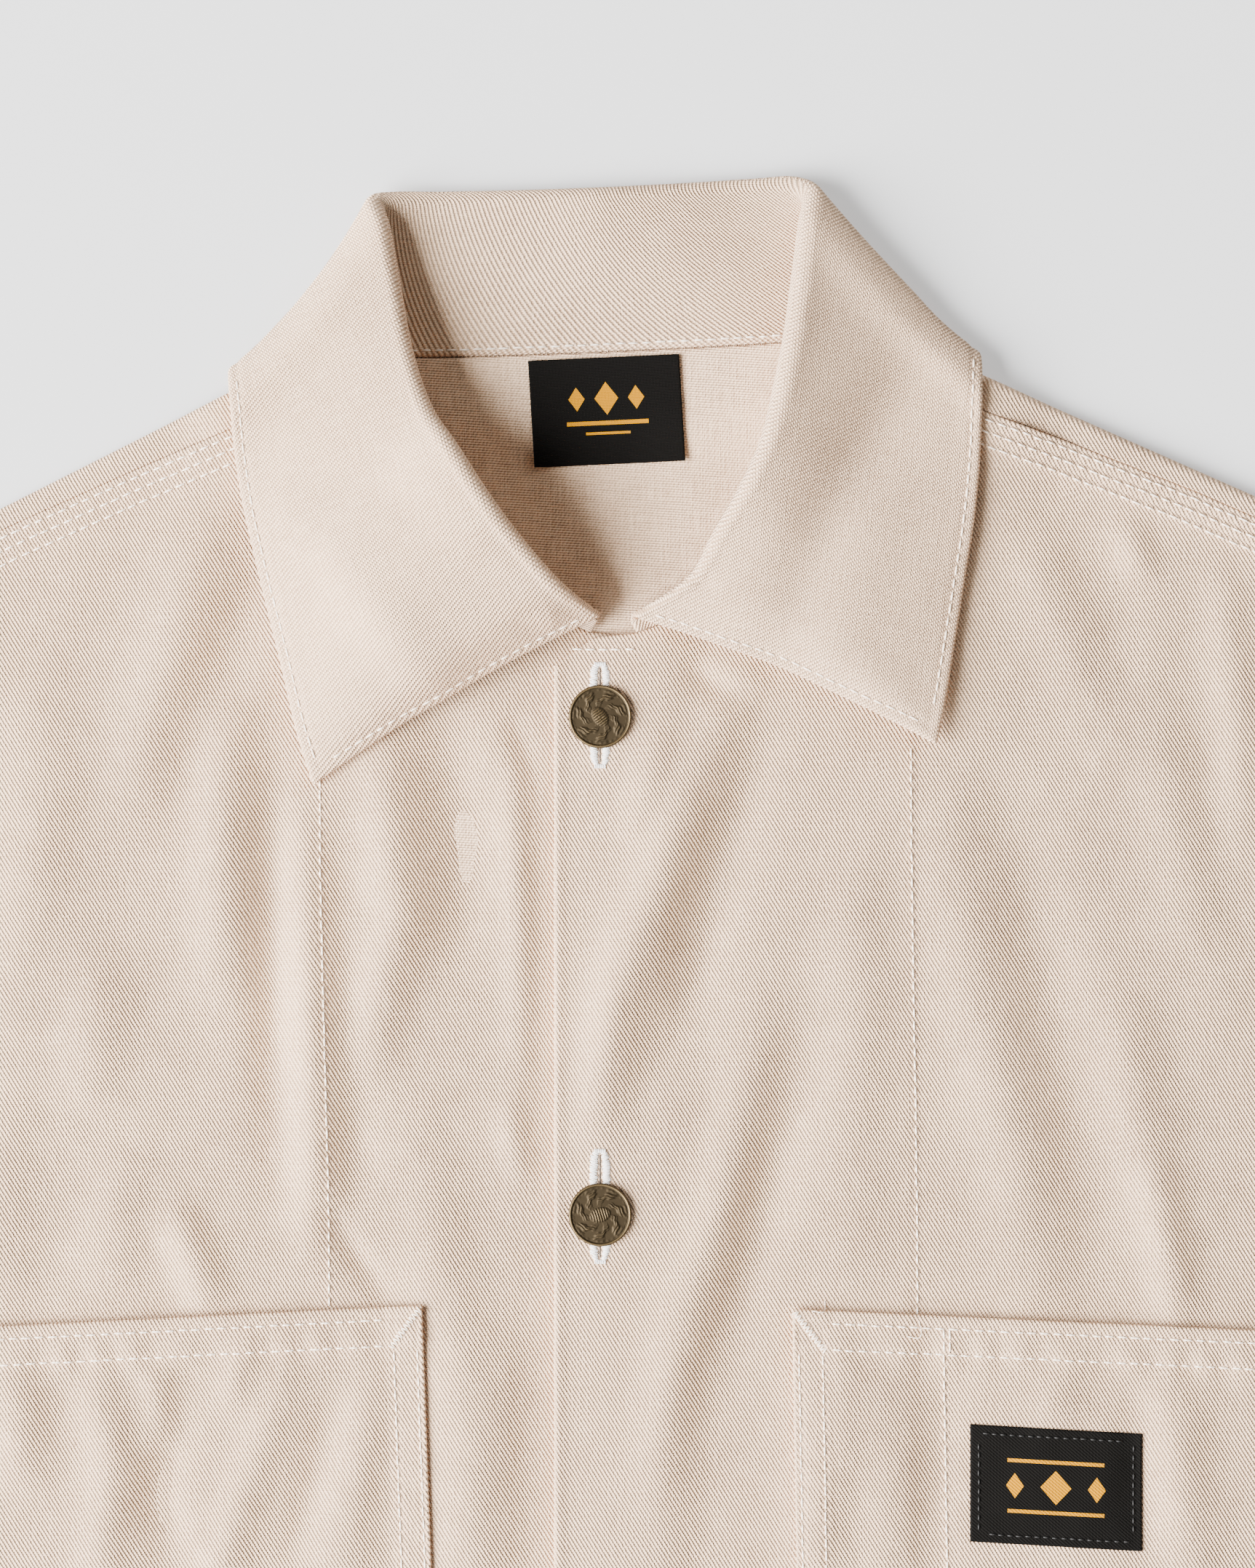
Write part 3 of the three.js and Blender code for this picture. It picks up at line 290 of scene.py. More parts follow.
def bell(distance, width):
    """Bell curve: e to the minus square of distance over width."""
    return np.exp(-((distance / width) ** 2))


def mix(a, b, t):
    """Straight mix of a and b by share t."""
    return a + (b - a) * t


def spaced(*stretches):
    """Grid lines along stretches (from, to, step), each cut into equal parts close to its step."""
    lines = [np.array([stretches[0][0]], float)]
    for start, end, step in stretches:
        count = max(int(round(abs(end - start) / step)), 1)
        lines.append(np.linspace(start, end, count + 1)[1:])
    return np.concatenate(lines)


def with_rims(lines, rim):
    """Grid lines with four close ones added inside each end, for a rounded rim of that width."""
    near = rim * np.array([0.12, 0.4, 0.8, 1.3])
    sign = np.sign(lines[-1] - lines[0])
    inside = lines[(np.abs(lines - lines[0]) > 1.6 * rim) & (np.abs(lines - lines[-1]) > 1.6 * rim)]
    return np.concatenate([lines[:1], lines[0] + sign * near, inside,
                           lines[-1] - sign * near[::-1], lines[-1:]])


def rim_share(distance, rim):
    """Quarter circle: how full a wall is at a distance from its border, from a small lip up to 1."""
    t = np.clip(distance / rim, 0, 1)
    return np.maximum(np.sqrt(1 - (1 - t) ** 2), 0.12)


def fold_height(folds, x, y):
    """Sum of soft ridges: each a bell of the distance to its line of points, rising and falling as a
    sine to the power 0.7 from one end of the line to the other."""
    total = np.zeros(np.broadcast(x, y).shape)
    for width, height, *line in folds:
        line = np.array(line, float)
        lengths = np.hypot(*np.diff(line, axis=0).T)
        near = np.full(total.shape, 1e9)
        share = np.zeros(total.shape)
        for k, length in enumerate(lengths):
            (x0, y0), (ux, uy) = line[k], (line[k + 1] - line[k]) / length
            along = np.clip((x - x0) * ux + (y - y0) * uy, 0, length)
            off = np.hypot(x - x0 - along * ux, y - y0 - along * uy)
            share = np.where(off < near, (lengths[:k].sum() + along) / lengths.sum(), share)
            near = np.minimum(near, off)
        total = total + height * bell(near, width) * np.sin(math.pi * np.clip(share, 0.01, 0.99)) ** 0.7
    return total


def ripple(x, y, seed=0.0):
    """Slow uneven waves of a laid cloth: a sum of sines with unlike directions and lengths."""
    total = 0.0
    for k, (fx, fy, size) in enumerate(
        [(0.031, 0.012, 1.0), (-0.018, 0.037, 0.9), (0.055, -0.021, 0.6), (0.024, 0.071, 0.5),
         (-0.083, 0.046, 0.35), (0.113, 0.062, 0.25), (-0.061, -0.127, 0.22)]
    ):
        total = total + size * np.sin(2 * math.pi * (fx * x + fy * y) + 1.7 * k + seed)
    return total / 2.2


def shoulder_line(side, x):
    """Middle of a shoulder's fold at x: a straight line falling from the neck, half a cloth inside."""
    neck_x, neck_y, slope = SHOULDER[side]
    length = math.hypot(1, slope)
    edge_y = neck_y - slope * (np.abs(x) - abs(neck_x))
    inward = (np.sign(x) * -slope / length, -1 / length)
    return x + inward[0] * CLOTH / 2, edge_y + inward[1] * CLOTH / 2, inward


def side_x(y):
    """Half-width of the body at y: armhole curve above the underarm, straight side seam below."""
    below = mix(UNDERARM[0], HEM_HALF_WIDTH, (y - UNDERARM[1]) / (HEM_Y - UNDERARM[1]))
    return np.where(y > UNDERARM[1], np.interp(y, ARMHOLE[:, 0], ARMHOLE[:, 1]), below)


def fall_lift(x, y, ramp):
    """Lift of the cloth over the collar's fall behind the neck, fading outside the fall's area."""
    dx = np.maximum(np.maximum(FALL_AREA[0] - x, x - FALL_AREA[1]), 0)
    dy = np.maximum(FALL_AREA[2] - y, 0)
    return FALL_LIFT * (1 - smooth(np.hypot(dx, dy), *ramp))


def strip_width(x):
    """Width of the back's strip over the shoulder at x, by the table."""
    return np.interp(np.abs(x), STRIP[:, 0], STRIP[:, 1])


def front_height(side, x, y):
    """Middle plane of a front: table height, lift over the collar's fall and the shoulder's fold, the
    lap over the other front, and the soft folds, which fade at seams and at the buttoned edge."""
    sign = SIGN[side]
    fold_y = shoulder_line(side, sign * np.maximum(np.abs(x), 60))[1]
    below = np.maximum(fold_y - strip_width(x) - y, 0)
    near_shoulder = (2 * SHOULDER_FOLD_RADIUS - (FRONT_Z - CLOTH / 2)) * bell(below, 15)
    off = smooth(side_x(y) - np.abs(x), 2, 26) * smooth(y - HEM_Y, 2, 30)
    clear = smooth(sign * x, *FOLD_START[side]) * off * smooth(below, 6, 26)
    rows = sum(bell(below - row, 0.6) for row in SEAM_ROWS["shoulder"])
    pucker = np.sin(x * 1.7 + 1.5 * np.sin(x * 0.31)) * (bell(below - 3.6, 1.1) + bell(below - 7.0, 1.2))
    felled = FELL_RISE * (1 - smooth(below, *FELL_EDGE)) - FELL_SINK * rows + FELL_PUCKER * pucker
    near_shoulder = near_shoulder + felled * smooth(np.abs(x), *FELL_START) * off
    lap = 0.0
    if side == "left":
        lap = (OVERLAP_Z - FRONT_Z) * (1 - smooth(x, *LAP_END)) + FACING_RISE * (1 - smooth(x, *FACING_END))
    waves = WAVE_HEIGHT * ripple(x, y, WAVE_SEED[side]) * off
    return (FRONT_Z + fall_lift(x, y, FRONT_RAMP) + near_shoulder + lap
            + clear * (0.5 + FOLD_GAIN * fold_height(FOLDS[side], x, y)) + waves * smooth(np.abs(x), 10, 30))


def top_edge(side):
    """Top edge of a front as points: overlap corner, neck seam beside the collar, shoulder seam."""
    out = SIGN[side]
    rows = np.array({"right": RIGHT_COLLAR, "left": LEFT_COLLAR}[side][:8], float)[:, :2]
    way = np.gradient(rows, axis=0)
    length = np.hypot(way[:, 0], way[:, 1])
    neck = np.stack([rows[:, 0] + out * np.abs(way[:, 1]) * NECK_GAP / length,
                     rows[:, 1] - np.abs(way[:, 0]) * NECK_GAP / length], 1)[:7]
    reach = mix(abs(SHOULDER[side][0]), SHOULDER_TIP_X, np.linspace(0, 1, 120))
    x, y, inward = shoulder_line(side, out * reach)
    width = strip_width(reach) + 0.06
    seam = np.stack([x + inward[0] * width, y + inward[1] * width], 1)
    seam[-1, 0] = out * (SHOULDER_TIP_X - SEAM_GAP / 2)
    return np.concatenate([np.array(COLLAR_EDGE_START[side]), neck, seam])


def collar_stations(share):
    """Collar sections at any share of its length: Catmull-Rom mix of the table's rows."""
    last = len(COLLAR_ROWS) - 1
    place = np.clip(share, 0, 1) * last
    k = np.minimum(np.floor(place).astype(int), last - 1)
    t = (place - k)[:, None]
    a, b = COLLAR_ROWS[np.maximum(k - 1, 0)], COLLAR_ROWS[k]
    c, d = COLLAR_ROWS[k + 1], COLLAR_ROWS[np.minimum(k + 2, last)]
    return b + 0.5 * t * (c - a + t * (2 * a - 5 * b + 4 * c - d + t * (3 * (b - c) + d - a)))


def unit(v):
    """Vectors brought to length 1."""
    return v / np.maximum(np.linalg.norm(v, axis=-1, keepdims=True), 1e-9)


def collar_surface(share, stand_lines, roll_angles, fall_lines):
    """Middle surface of the collar: a straight stand, an arc round the roll, then a quadratic curve
    out to the free edge. Rows follow the collar's length, columns go from the neck seam outward."""
    rows = collar_stations(share)
    neck, roll, edge = rows[:, 0:3], rows[:, 3:6], rows[:, 6:9]
    bow, crown, fold = rows[:, 9:10], rows[:, 10:11], rows[:, 11:12]
    side = np.where(share[:, None] < 0.5, 1.0, -1.0)
    out = edge - roll
    sideways = unit(np.stack([out[:, 1], -out[:, 0], 0 * out[:, 0]], 1)) * bow * side
    control = (roll + edge) / 2 + 2 * sideways
    control[:, 2:] += 2 * crown
    to_neck, to_fall = unit(neck - roll), unit(control - roll)
    centre_way = unit(to_neck + to_fall)
    across = unit(to_fall - (to_fall * centre_way).sum(1, keepdims=True) * centre_way)
    centre = roll + centre_way * fold
    angles = np.asarray(roll_angles)[None, :, None]
    bend = (centre[:, None] + across[:, None] * fold[:, None] * np.sin(angles)
            - centre_way[:, None] * fold[:, None] * np.cos(angles))
    stand = mix(neck[:, None], bend[:, :1], np.asarray(stand_lines)[None, :, None])
    t = np.asarray(fall_lines)[None, :, None]
    fall = bend[:, -1:] * (1 - t) ** 2 + control[:, None] * 2 * t * (1 - t) + edge[:, None] * t * t
    surface = np.concatenate([stand, bend, fall], 1)
    surface[..., 2] = np.maximum(surface[..., 2], COLLAR_THICKNESS / 2)
    return surface


def make_mesh(name, points, faces, uv=None, attributes=None, materials=()):
    """Mesh object from points in garment millimetres, four-cornered faces and a UV map in millimetres,
    given for each point or for each face corner."""
    used, faces_flat = np.unique(faces, return_inverse=True)
    faces_flat = faces_flat.reshape(-1)
    placed = (points[used] + np.array([0.0, MID_Y, 0.0])) * MM
    mesh = bpy.data.meshes.new(name)
    count = len(faces)
    corners = faces.shape[1]
    mesh.vertices.add(len(placed))
    mesh.vertices.foreach_set("co", placed.astype(np.float32).ravel())
    mesh.loops.add(count * corners)
    mesh.loops.foreach_set("vertex_index", faces_flat.astype(np.int32))
    mesh.polygons.add(count)
    mesh.polygons.foreach_set("loop_start", np.arange(0, count * corners, corners, dtype=np.int32))
    mesh.polygons.foreach_set("loop_total", np.full(count, corners, dtype=np.int32))
    mesh.polygons.foreach_set("use_smooth", np.ones(count, dtype=bool))
    mesh.update(calc_edges=True)
    if uv is not None:
        per_corner = uv if len(uv) == count * corners else uv[used][faces_flat]
        layer = mesh.uv_layers.new(name="cloth")
        layer.data.foreach_set("uv", per_corner.astype(np.float32).ravel())
    for key, values in (attributes or {}).items():
        attribute = mesh.attributes.new(key, "FLOAT", "POINT")
        attribute.data.foreach_set("value", values[used].astype(np.float32))
    mesh.validate()
    thing = bpy.data.objects.new(name, mesh)
    bpy.context.scene.collection.objects.link(thing)
    for material in materials:
        mesh.materials.append(material)
    return thing


def grid_normals(grid, loop=False):
    """Unit normals of a grid of points: cross product of its differences along rows and columns."""
    down = np.gradient(grid, axis=0)
    if loop:
        along = (np.roll(grid, -1, 1) - np.roll(grid, 1, 1)) / 2
    else:
        along = np.gradient(grid, axis=1)
    return unit(np.cross(down, along))


def shell(grid, half, loop=False, used=None):
    """Closed thin body round a grid of middle points: the points moved half the wall along the
    normals to either side, with the border walled round. Returns points and faces."""
    rows, columns = grid.shape[:2]
    normals = grid_normals(grid, loop)
    half = np.broadcast_to(np.asarray(half, float), (rows, columns))[..., None]
    points = np.concatenate([(grid + normals * half).reshape(-1, 3), (grid - normals * half).reshape(-1, 3)])
    cells = columns if loop else columns - 1
    if used is None:
        used = np.ones((rows - 1, cells), bool)
    i, j = np.nonzero(used)
    top = lambda a, b: a * columns + b % columns
    low = lambda a, b: rows * columns + a * columns + b % columns
    faces = [
        np.stack([top(i, j), top(i + 1, j), top(i + 1, j + 1), top(i, j + 1)], 1),
        np.stack([low(i, j), low(i, j + 1), low(i + 1, j + 1), low(i + 1, j)], 1),
    ]
    for di, dj, first, second in (
        (0, -1, (0, 0), (1, 0)), (0, 1, (1, 1), (0, 1)), (-1, 0, (0, 1), (0, 0)), (1, 0, (1, 0), (1, 1))
    ):
        ni, nj = i + di, (j + dj) % cells if loop else j + dj
        inside = (ni >= 0) & (ni < rows - 1) & (nj >= 0) & (nj < cells)
        open_side = ~(inside & used[np.clip(ni, 0, rows - 2), np.clip(nj, 0, cells - 1)])
        a = (i[open_side] + first[0], j[open_side] + first[1])
        b = (i[open_side] + second[0], j[open_side] + second[1])
        faces.append(np.stack([top(*a), low(*a), low(*b), top(*b)], 1))
    return points, np.concatenate(faces)


def both(values):
    """One value for each grid point, repeated for the two sides of a wall."""
    flat = values.reshape(-1, *values.shape[2:])
    return np.concatenate([flat, flat])


def threads(starts, ends, radius, lift=0.0):
    """Short rounded threads: five rings of six points along each line from start to end, arched up
    by lift, with the radius falling to the ends. Returns points and faces."""
    sides = 6
    way = unit(ends - starts)
    across = unit(np.cross(way, (0.0, 0.0, 1.0)))
    normal = np.cross(across, way)
    share = np.array([0.0, 0.12, 0.5, 0.88, 1.0])
    girth = np.array([0.3, 0.85, 1.0, 0.85, 0.3]) * radius
    arch = lift * np.array([-0.8, 0.35, 1.0, 0.35, -0.8])
    angle = 2 * math.pi * np.arange(sides) / sides
    middle = (starts[:, None] + (ends - starts)[:, None] * share[None, :, None]
              + normal[:, None] * arch[None, :, None])
    ring = (across[:, None, None] * np.cos(angle)[None, None, :, None]
            + normal[:, None, None] * np.sin(angle)[None, None, :, None])
    points = (middle[:, :, None] + ring * girth[None, :, None, None]).reshape(-1, 3)
    one = [(k + s, k + (s + 1) % sides, k + sides + (s + 1) % sides, k + sides + s)
           for k in range(0, 4 * sides, sides) for s in range(sides)]
    end = 4 * sides
    one += [(3, 2, 1, 0), (5, 4, 3, 0), (end, end + 1, end + 2, end + 3), (end, end + 3, end + 4, end + 5)]
    faces = np.array(one)[None] + (np.arange(len(starts)) * 5 * sides)[:, None, None]
    return points, faces.reshape(-1, 4)


def join(parts):
    """Several point and face lists made one."""
    offset, points, faces = 0, [], []
    for p, f in parts:
        points.append(p)
        faces.append(f + offset)
        offset += len(p)
    return np.concatenate(points), np.concatenate(faces)


def running(grid, axis):
    """Length run along a grid's columns (axis 0) or rows (axis 1), a sum of its steps from nought."""
    steps = np.linalg.norm(np.diff(grid, axis=axis), axis=-1)
    return np.concatenate([np.zeros_like(steps.take([0], axis)), np.cumsum(steps, axis)], axis)


def point_at(distance, lengths, line):
    """Point of a line where its running length is the given distance."""
    return [np.interp(distance, lengths, line[:, k]) for k in range(3)]


def along_line(line, step):
    """Points at equal steps along a line of points, by length."""
    length = running(line, 0)
    return np.array(point_at(np.arange(0, length[-1], step), length, line)).T


def stitch_row(line, pitch, seed=0):
    """One row of stitches: a thread over most of each pitch along a line, each a little uneven."""
    fine = along_line(line, LINE_STEP)
    per = pitch / LINE_STEP
    count = int(len(fine) / per) - 1
    if count < 1:
        return np.zeros((0, 3)), np.zeros((0, 4), int)
    rng = np.random.default_rng(seed)
    begin = (np.arange(count) + 0.5 + rng.uniform(-0.05, 0.05, count)) * per
    a = fine[begin.astype(int)]
    b = fine[np.minimum(begin + per * STITCH_COVER, len(fine) - 1).astype(int)]
    side = rng.uniform(-0.07, 0.07, (count, 1)) * np.array([[1.0, 1.0, 0.0]])
    return threads(a + side, b + side, STITCH_RADIUS, STITCH_ARCH)


def node_group(name, inputs, outputs):
    """Empty shader node group with named sockets: (name, kind, default) for each input."""
    tree = bpy.data.node_groups.new(name, "ShaderNodeTree")
    for label, kind, default in inputs:
        socket = tree.interface.new_socket(name=label, in_out="INPUT", socket_type=kind)
        if default is not None:
            socket.default_value = default
    for label, kind in outputs:
        tree.interface.new_socket(name=label, in_out="OUTPUT", socket_type=kind)
    return tree, tree.nodes.new("NodeGroupInput"), tree.nodes.new("NodeGroupOutput")


def set_inputs(node, values):
    """Set inputs of a node, each to a value or to a link from a socket."""
    for key, value in values.items():
        if isinstance(value, bpy.types.NodeSocket):
            node.id_data.links.new(value, node.inputs[key])
        else:
            node.inputs[key].default_value = value


def wire(tree, kind, values=None, **settings):
    """New node with its settings and inputs."""
    node = tree.nodes.new(kind)
    for key, value in settings.items():
        setattr(node, key, value)
    set_inputs(node, values or {})
    return node


def maths(tree, operation, a, b=0.0, c=0.0, clamp=False):
    """Math node with up to three inputs, as its output socket."""
    return wire(tree, "ShaderNodeMath", {0: a, 1: b, 2: c}, operation=operation, use_clamp=clamp).outputs[0]


def noise(tree, place, scale, detail):
    """Noise at a place, 0 to 1."""
    values = {"Vector": place, "Scale": scale, "Detail": detail}
    return wire(tree, "ShaderNodeTexNoise", values).outputs["Fac"]


def tint(tree, share, low, high):
    """Colour between two others by a share."""
    return wire(tree, "ShaderNodeMix", {0: share, 6: low, 7: high}, data_type="RGBA").outputs[2]


def bump(tree, height, distance, strength=1.0):
    """Normal bent by a height of at most a distance in metres."""
    values = {"Strength": strength, "Distance": distance, "Height": height}
    return wire(tree, "ShaderNodeBump", values).outputs[0]


def opaque(colour, gain=1.0):
    """Colour with its alpha, brighter or darker by a factor."""
    return (*(c * gain for c in colour), 1)


def wave_of(tree, u, v, fu, fv, phase=0.0):
    """Cosine wave over cloth coordinates with the given frequencies per millimetre."""
    turn = 2 * math.pi
    first = maths(tree, "MULTIPLY_ADD", u, turn * fu, phase)
    return maths(tree, "COSINE", maths(tree, "MULTIPLY_ADD", v, turn * fv, first))


def twill_group():
    """Twill weave over a map in millimetres: diagonal lines, a weaker counter-diagonal and the weft
    rows, uneven along the yarns, with slubs and sparse brown specks."""
    tree, given, out = node_group(
        "Twill weave",
        [("Map", "NodeSocketVector", None), ("Warp pitch", "NodeSocketFloat", 0.355),
         ("Weft pitch", "NodeSocketFloat", 0.57), ("Wrong side", "NodeSocketFloat", 0.0)],
        [("Height", "NodeSocketFloat"), ("Shade", "NodeSocketFloat"), ("Speck", "NodeSocketFloat")],
    )
    parts = wire(tree, "ShaderNodeSeparateXYZ", {0: given.outputs["Map"]})
    u = maths(tree, "DIVIDE", parts.outputs[0], given.outputs["Warp pitch"])
    v = maths(tree, "DIVIDE", parts.outputs[1], given.outputs["Weft pitch"])
    yarns = wire(tree, "ShaderNodeCombineXYZ", {0: maths(tree, "MULTIPLY", u, 0.9),
                                                1: maths(tree, "MULTIPLY", v, 0.07)})
    picks = wire(tree, "ShaderNodeCombineXYZ", {0: maths(tree, "MULTIPLY", u, 0.05),
                                                1: maths(tree, "MULTIPLY", v, 0.9)})
    slub, pick = [noise(tree, place.outputs[0], 1.0, 1.0) for place in (yarns, picks)]
    shift = maths(tree, "MULTIPLY_ADD", noise(tree, given.outputs["Map"], 0.5, 2.0), 0.5, -0.25)
    moved = maths(tree, "ADD", u, shift)
    third = 1 / 3
    main = wave_of(tree, moved, v, third, third)
    cross = wave_of(tree, moved, v, third, -2 * third)
    weft = wave_of(tree, moved, v, 0.0, 1.0)
    back = wave_of(tree, moved, v, third, -third)
    face = maths(tree, "MULTIPLY_ADD", cross, 0.42, maths(tree, "MULTIPLY_ADD", weft, 0.3, main))
    courses = wave_of(tree, moved, v, 0.03, 0.84)
    reverse = maths(tree, "MULTIPLY_ADD", back, 0.3, maths(tree, "MULTIPLY", courses, 0.6))
    pattern = wire(tree, "ShaderNodeMix", {0: given.outputs["Wrong side"], 2: face, 3: reverse})
    yarn = maths(tree, "MULTIPLY_ADD", slub, 1.4, -0.7)
    rows = maths(tree, "MULTIPLY_ADD", pick, 1.0, -0.5)
    uneven = maths(tree, "ADD", yarn, rows)
    height = maths(tree, "ADD", pattern.outputs[0], uneven)
    # Painted shade: share towards the darker hollow colour, lowest where the weave is lowest
    shade = maths(tree, "MULTIPLY_ADD", height, 2.2 / math.pi, 0.58, clamp=True)
    dots = wire(tree, "ShaderNodeTexVoronoi", {"Vector": given.outputs["Map"], "Scale": 0.16,
                                               "Randomness": 1.0})
    near = maths(tree, "LESS_THAN", dots.outputs["Distance"], 0.055)
    pick_one = wire(tree, "ShaderNodeSeparateColor", {0: dots.outputs["Color"]})
    few = maths(tree, "GREATER_THAN", pick_one.outputs[0], 0.86)
    set_inputs(out, {"Height": height, "Shade": shade, "Speck": maths(tree, "MULTIPLY", near, few)})
    return tree


def cloudy_group():
    """Slow uneven tone of a washed cloth, two noises over a map in millimetres."""
    tree, given, out = node_group(
        "Cloudy tone", [("Map", "NodeSocketVector", None), ("Size", "NodeSocketFloat", 30.0)],
        [("Tone", "NodeSocketFloat")])
    scale = maths(tree, "DIVIDE", 1.0, given.outputs["Size"])
    slow = noise(tree, given.outputs["Map"], scale, 3.0)
    fine = noise(tree, given.outputs["Map"], 0.9, 2.0)
    tone = maths(tree, "MULTIPLY_ADD", fine, 0.35, maths(tree, "MULTIPLY", slow, 0.65))
    set_inputs(out, {"Tone": tone})
    return tree


def new_material(name):
    """Material with an empty node tree, its shader and its output."""
    material = bpy.data.materials.new(name)
    material.use_nodes = True
    tree = material.node_tree
    tree.nodes.clear()
    shader = tree.nodes.new("ShaderNodeBsdfPrincipled")
    output = tree.nodes.new("ShaderNodeOutputMaterial")
    tree.links.new(shader.outputs[0], output.inputs[0])
    return material, tree, shader


def cloth_map(tree):
    """The piece's own map in millimetres."""
    return wire(tree, "ShaderNodeUVMap", uv_map="cloth").outputs[0]


def object_place(tree):
    """Place in the object, in metres."""
    return wire(tree, "ShaderNodeTexCoord").outputs["Object"]


def cotton(name, colour, shadow, relief):
    """Cotton twill: weave height to a bump, painted shade in its hollows and slow clouds to colour, and brown
    specks.
    """
    material, tree, shader = new_material(name)
    place = cloth_map(tree)
    side = wire(tree, "ShaderNodeAttribute", attribute_name="wrong_side").outputs["Fac"]
    weave = wire(tree, "ShaderNodeGroup", {"Map": place, "Wrong side": side}, node_tree=GROUPS["twill"])
    cloud = wire(tree, "ShaderNodeGroup", {"Map": place}, node_tree=GROUPS["cloud"])
    clouds = maths(tree, "MULTIPLY_ADD", cloud.outputs["Tone"], 1.2, -0.42, clamp=True)
    specks = maths(tree, "MULTIPLY", weave.outputs["Speck"], 0.6)
    # Painted shade: the twill's low parts darkened towards the hollow colour
    tone = tint(tree, weave.outputs["Shade"], opaque(shadow), opaque(colour))
    warm = tint(tree, clouds, tone, opaque(c * k for c, k in zip(colour, (0.97, 0.925, 0.86))))
    set_inputs(shader, {
        "Base Color": tint(tree, specks, warm, (0.34, 0.2, 0.11, 1)),
        "Normal": bump(tree, weave.outputs["Height"], relief * MM),
        "Roughness": 0.92, "Specular IOR Level": 0.2, "Sheen Weight": 0.12, "Sheen Roughness": 0.5})
    return material


def thread_material(name, colour):
    """Sewing thread: tone and bump uneven by a fine noise over the object."""
    material, tree, shader = new_material(name)
    grain = noise(tree, object_place(tree), 2600.0, 1.0)
    set_inputs(shader, {
        "Base Color": tint(tree, grain, opaque(colour, 0.84), opaque(colour)),
        "Normal": bump(tree, grain, 0.0001, 0.7), "Roughness": 0.6, "Specular IOR Level": 0.35})
    return material


def label_material(name, colour, motif, gold, bars, diamonds):
    """Black woven ribbon: fine ribs to a bump and to painted shade in both colours, and a gold mark of
    diamonds and bars, each a plain shape of its distance from its own middle."""
    material, tree, shader = new_material(name)
    place = cloth_map(tree)
    x, y, _ = wire(tree, "ShaderNodeSeparateXYZ", {0: place}).outputs
    mark = 0.0
    for cx, cy, w, h in diamonds:
        dx, dy = [maths(tree, "DIVIDE", maths(tree, "ABSOLUTE", maths(tree, "SUBTRACT", *pair)), size)
                  for *pair, size in ((x, cx, w), (y, cy, h))]
        one = maths(tree, "LESS_THAN", maths(tree, "ADD", dx, dy), 1.0)
        mark = maths(tree, "ADD", mark, one, clamp=True)
    for cx, cy, w, h in bars:
        dx, dy = [maths(tree, "LESS_THAN", maths(tree, "ABSOLUTE", maths(tree, "SUBTRACT", *pair)), size)
                  for *pair, size in ((x, cx, w), (y, cy, h))]
        mark = maths(tree, "ADD", mark, maths(tree, "MULTIPLY", dx, dy), clamp=True)
    rib = wave_of(tree, x, y, *motif)
    grain = maths(tree, "MULTIPLY_ADD", wave_of(tree, x, y, 2.6, 0.0), 0.4, rib)
    uneven = maths(tree, "MULTIPLY", noise(tree, place, 3.0, 2.0), 0.8)
    # Partly painted shade: the black darker in the rib troughs, plus uneven tone from a noise
    tone = tint(tree, maths(tree, "MULTIPLY_ADD", grain, 0.3, uneven, clamp=True),
                opaque(colour, 0.55), opaque(colour, 1.5))
    # Painted shade: the gold darker in the rib troughs, full colour on the rib tops
    gold_rib_shade = tint(tree, maths(tree, "MULTIPLY_ADD", rib, 0.3, 0.5), opaque(gold, 0.6), opaque(gold))
    set_inputs(shader, {
        "Base Color": tint(tree, mark, tone, gold_rib_shade),
        "Normal": bump(tree, maths(tree, "MULTIPLY_ADD", mark, 0.8, grain), 0.00006, 0.8),
        "Roughness": 0.7, "Specular IOR Level": 0.03})
    return material


def brass_material(name, colour):
    """Old brass: brown tarnish in the hollows, given by the height attribute, bright on the edges."""
    material, tree, shader = new_material(name)
    worn = wire(tree, "ShaderNodeAttribute", attribute_name="proud").outputs["Fac"]
    share = maths(tree, "MULTIPLY_ADD", noise(tree, object_place(tree), 700.0, 4.0), 0.4,
                  maths(tree, "SUBTRACT", worn, 0.3), clamp=True)
    rough = wire(tree, "ShaderNodeMix", {0: share, 2: 0.6, 3: 0.34}).outputs[0]
    set_inputs(shader, {"Base Color": tint(tree, share, opaque(colour, 0.16), opaque(colour)),
                        "Roughness": rough, "Metallic": 0.85})
    return material


def slit_shade_material(name):
    """Painted shade for the inside of a buttonhole's cut: a dark brown, uneven by a fine noise."""
    material, tree, shader = new_material(name)
    grain = noise(tree, object_place(tree), 1500.0, 2.0)
    set_inputs(shader, {"Base Color": tint(tree, grain, (0.03, 0.02, 0.015, 1), (0.16, 0.12, 0.09, 1)),
                        "Roughness": 0.95})
    return material


GROUPS = {}
FINISHES = {}


def finish(thing, node):
    """Put a piece on the jacket's body and hide the node it replaces."""
    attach(thing, "root")
    if node:
        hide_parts(node)


def build_wall(name, grid, half, flip=False, to_map=None, attributes=None, **settings):
    """Twill piece from a grid of middle points: a closed wall, its columns turned over where asked so
    that it faces up, with a map read from its X and Y."""
    if flip:
        grid, half = grid[:, ::-1], half[:, ::-1]
    points, faces = shell(grid, half, **settings)
    flat = grid[..., :2] if to_map is None else to_map(grid[..., :2])
    return make_mesh(name, points, faces, both(flat), attributes, [FINISHES["twill"]])


def nearest(*distances):
    """Smallest of several distances at each point."""
    least = distances[0]
    for distance in distances[1:]:
        least = np.minimum(least, distance)
    return least


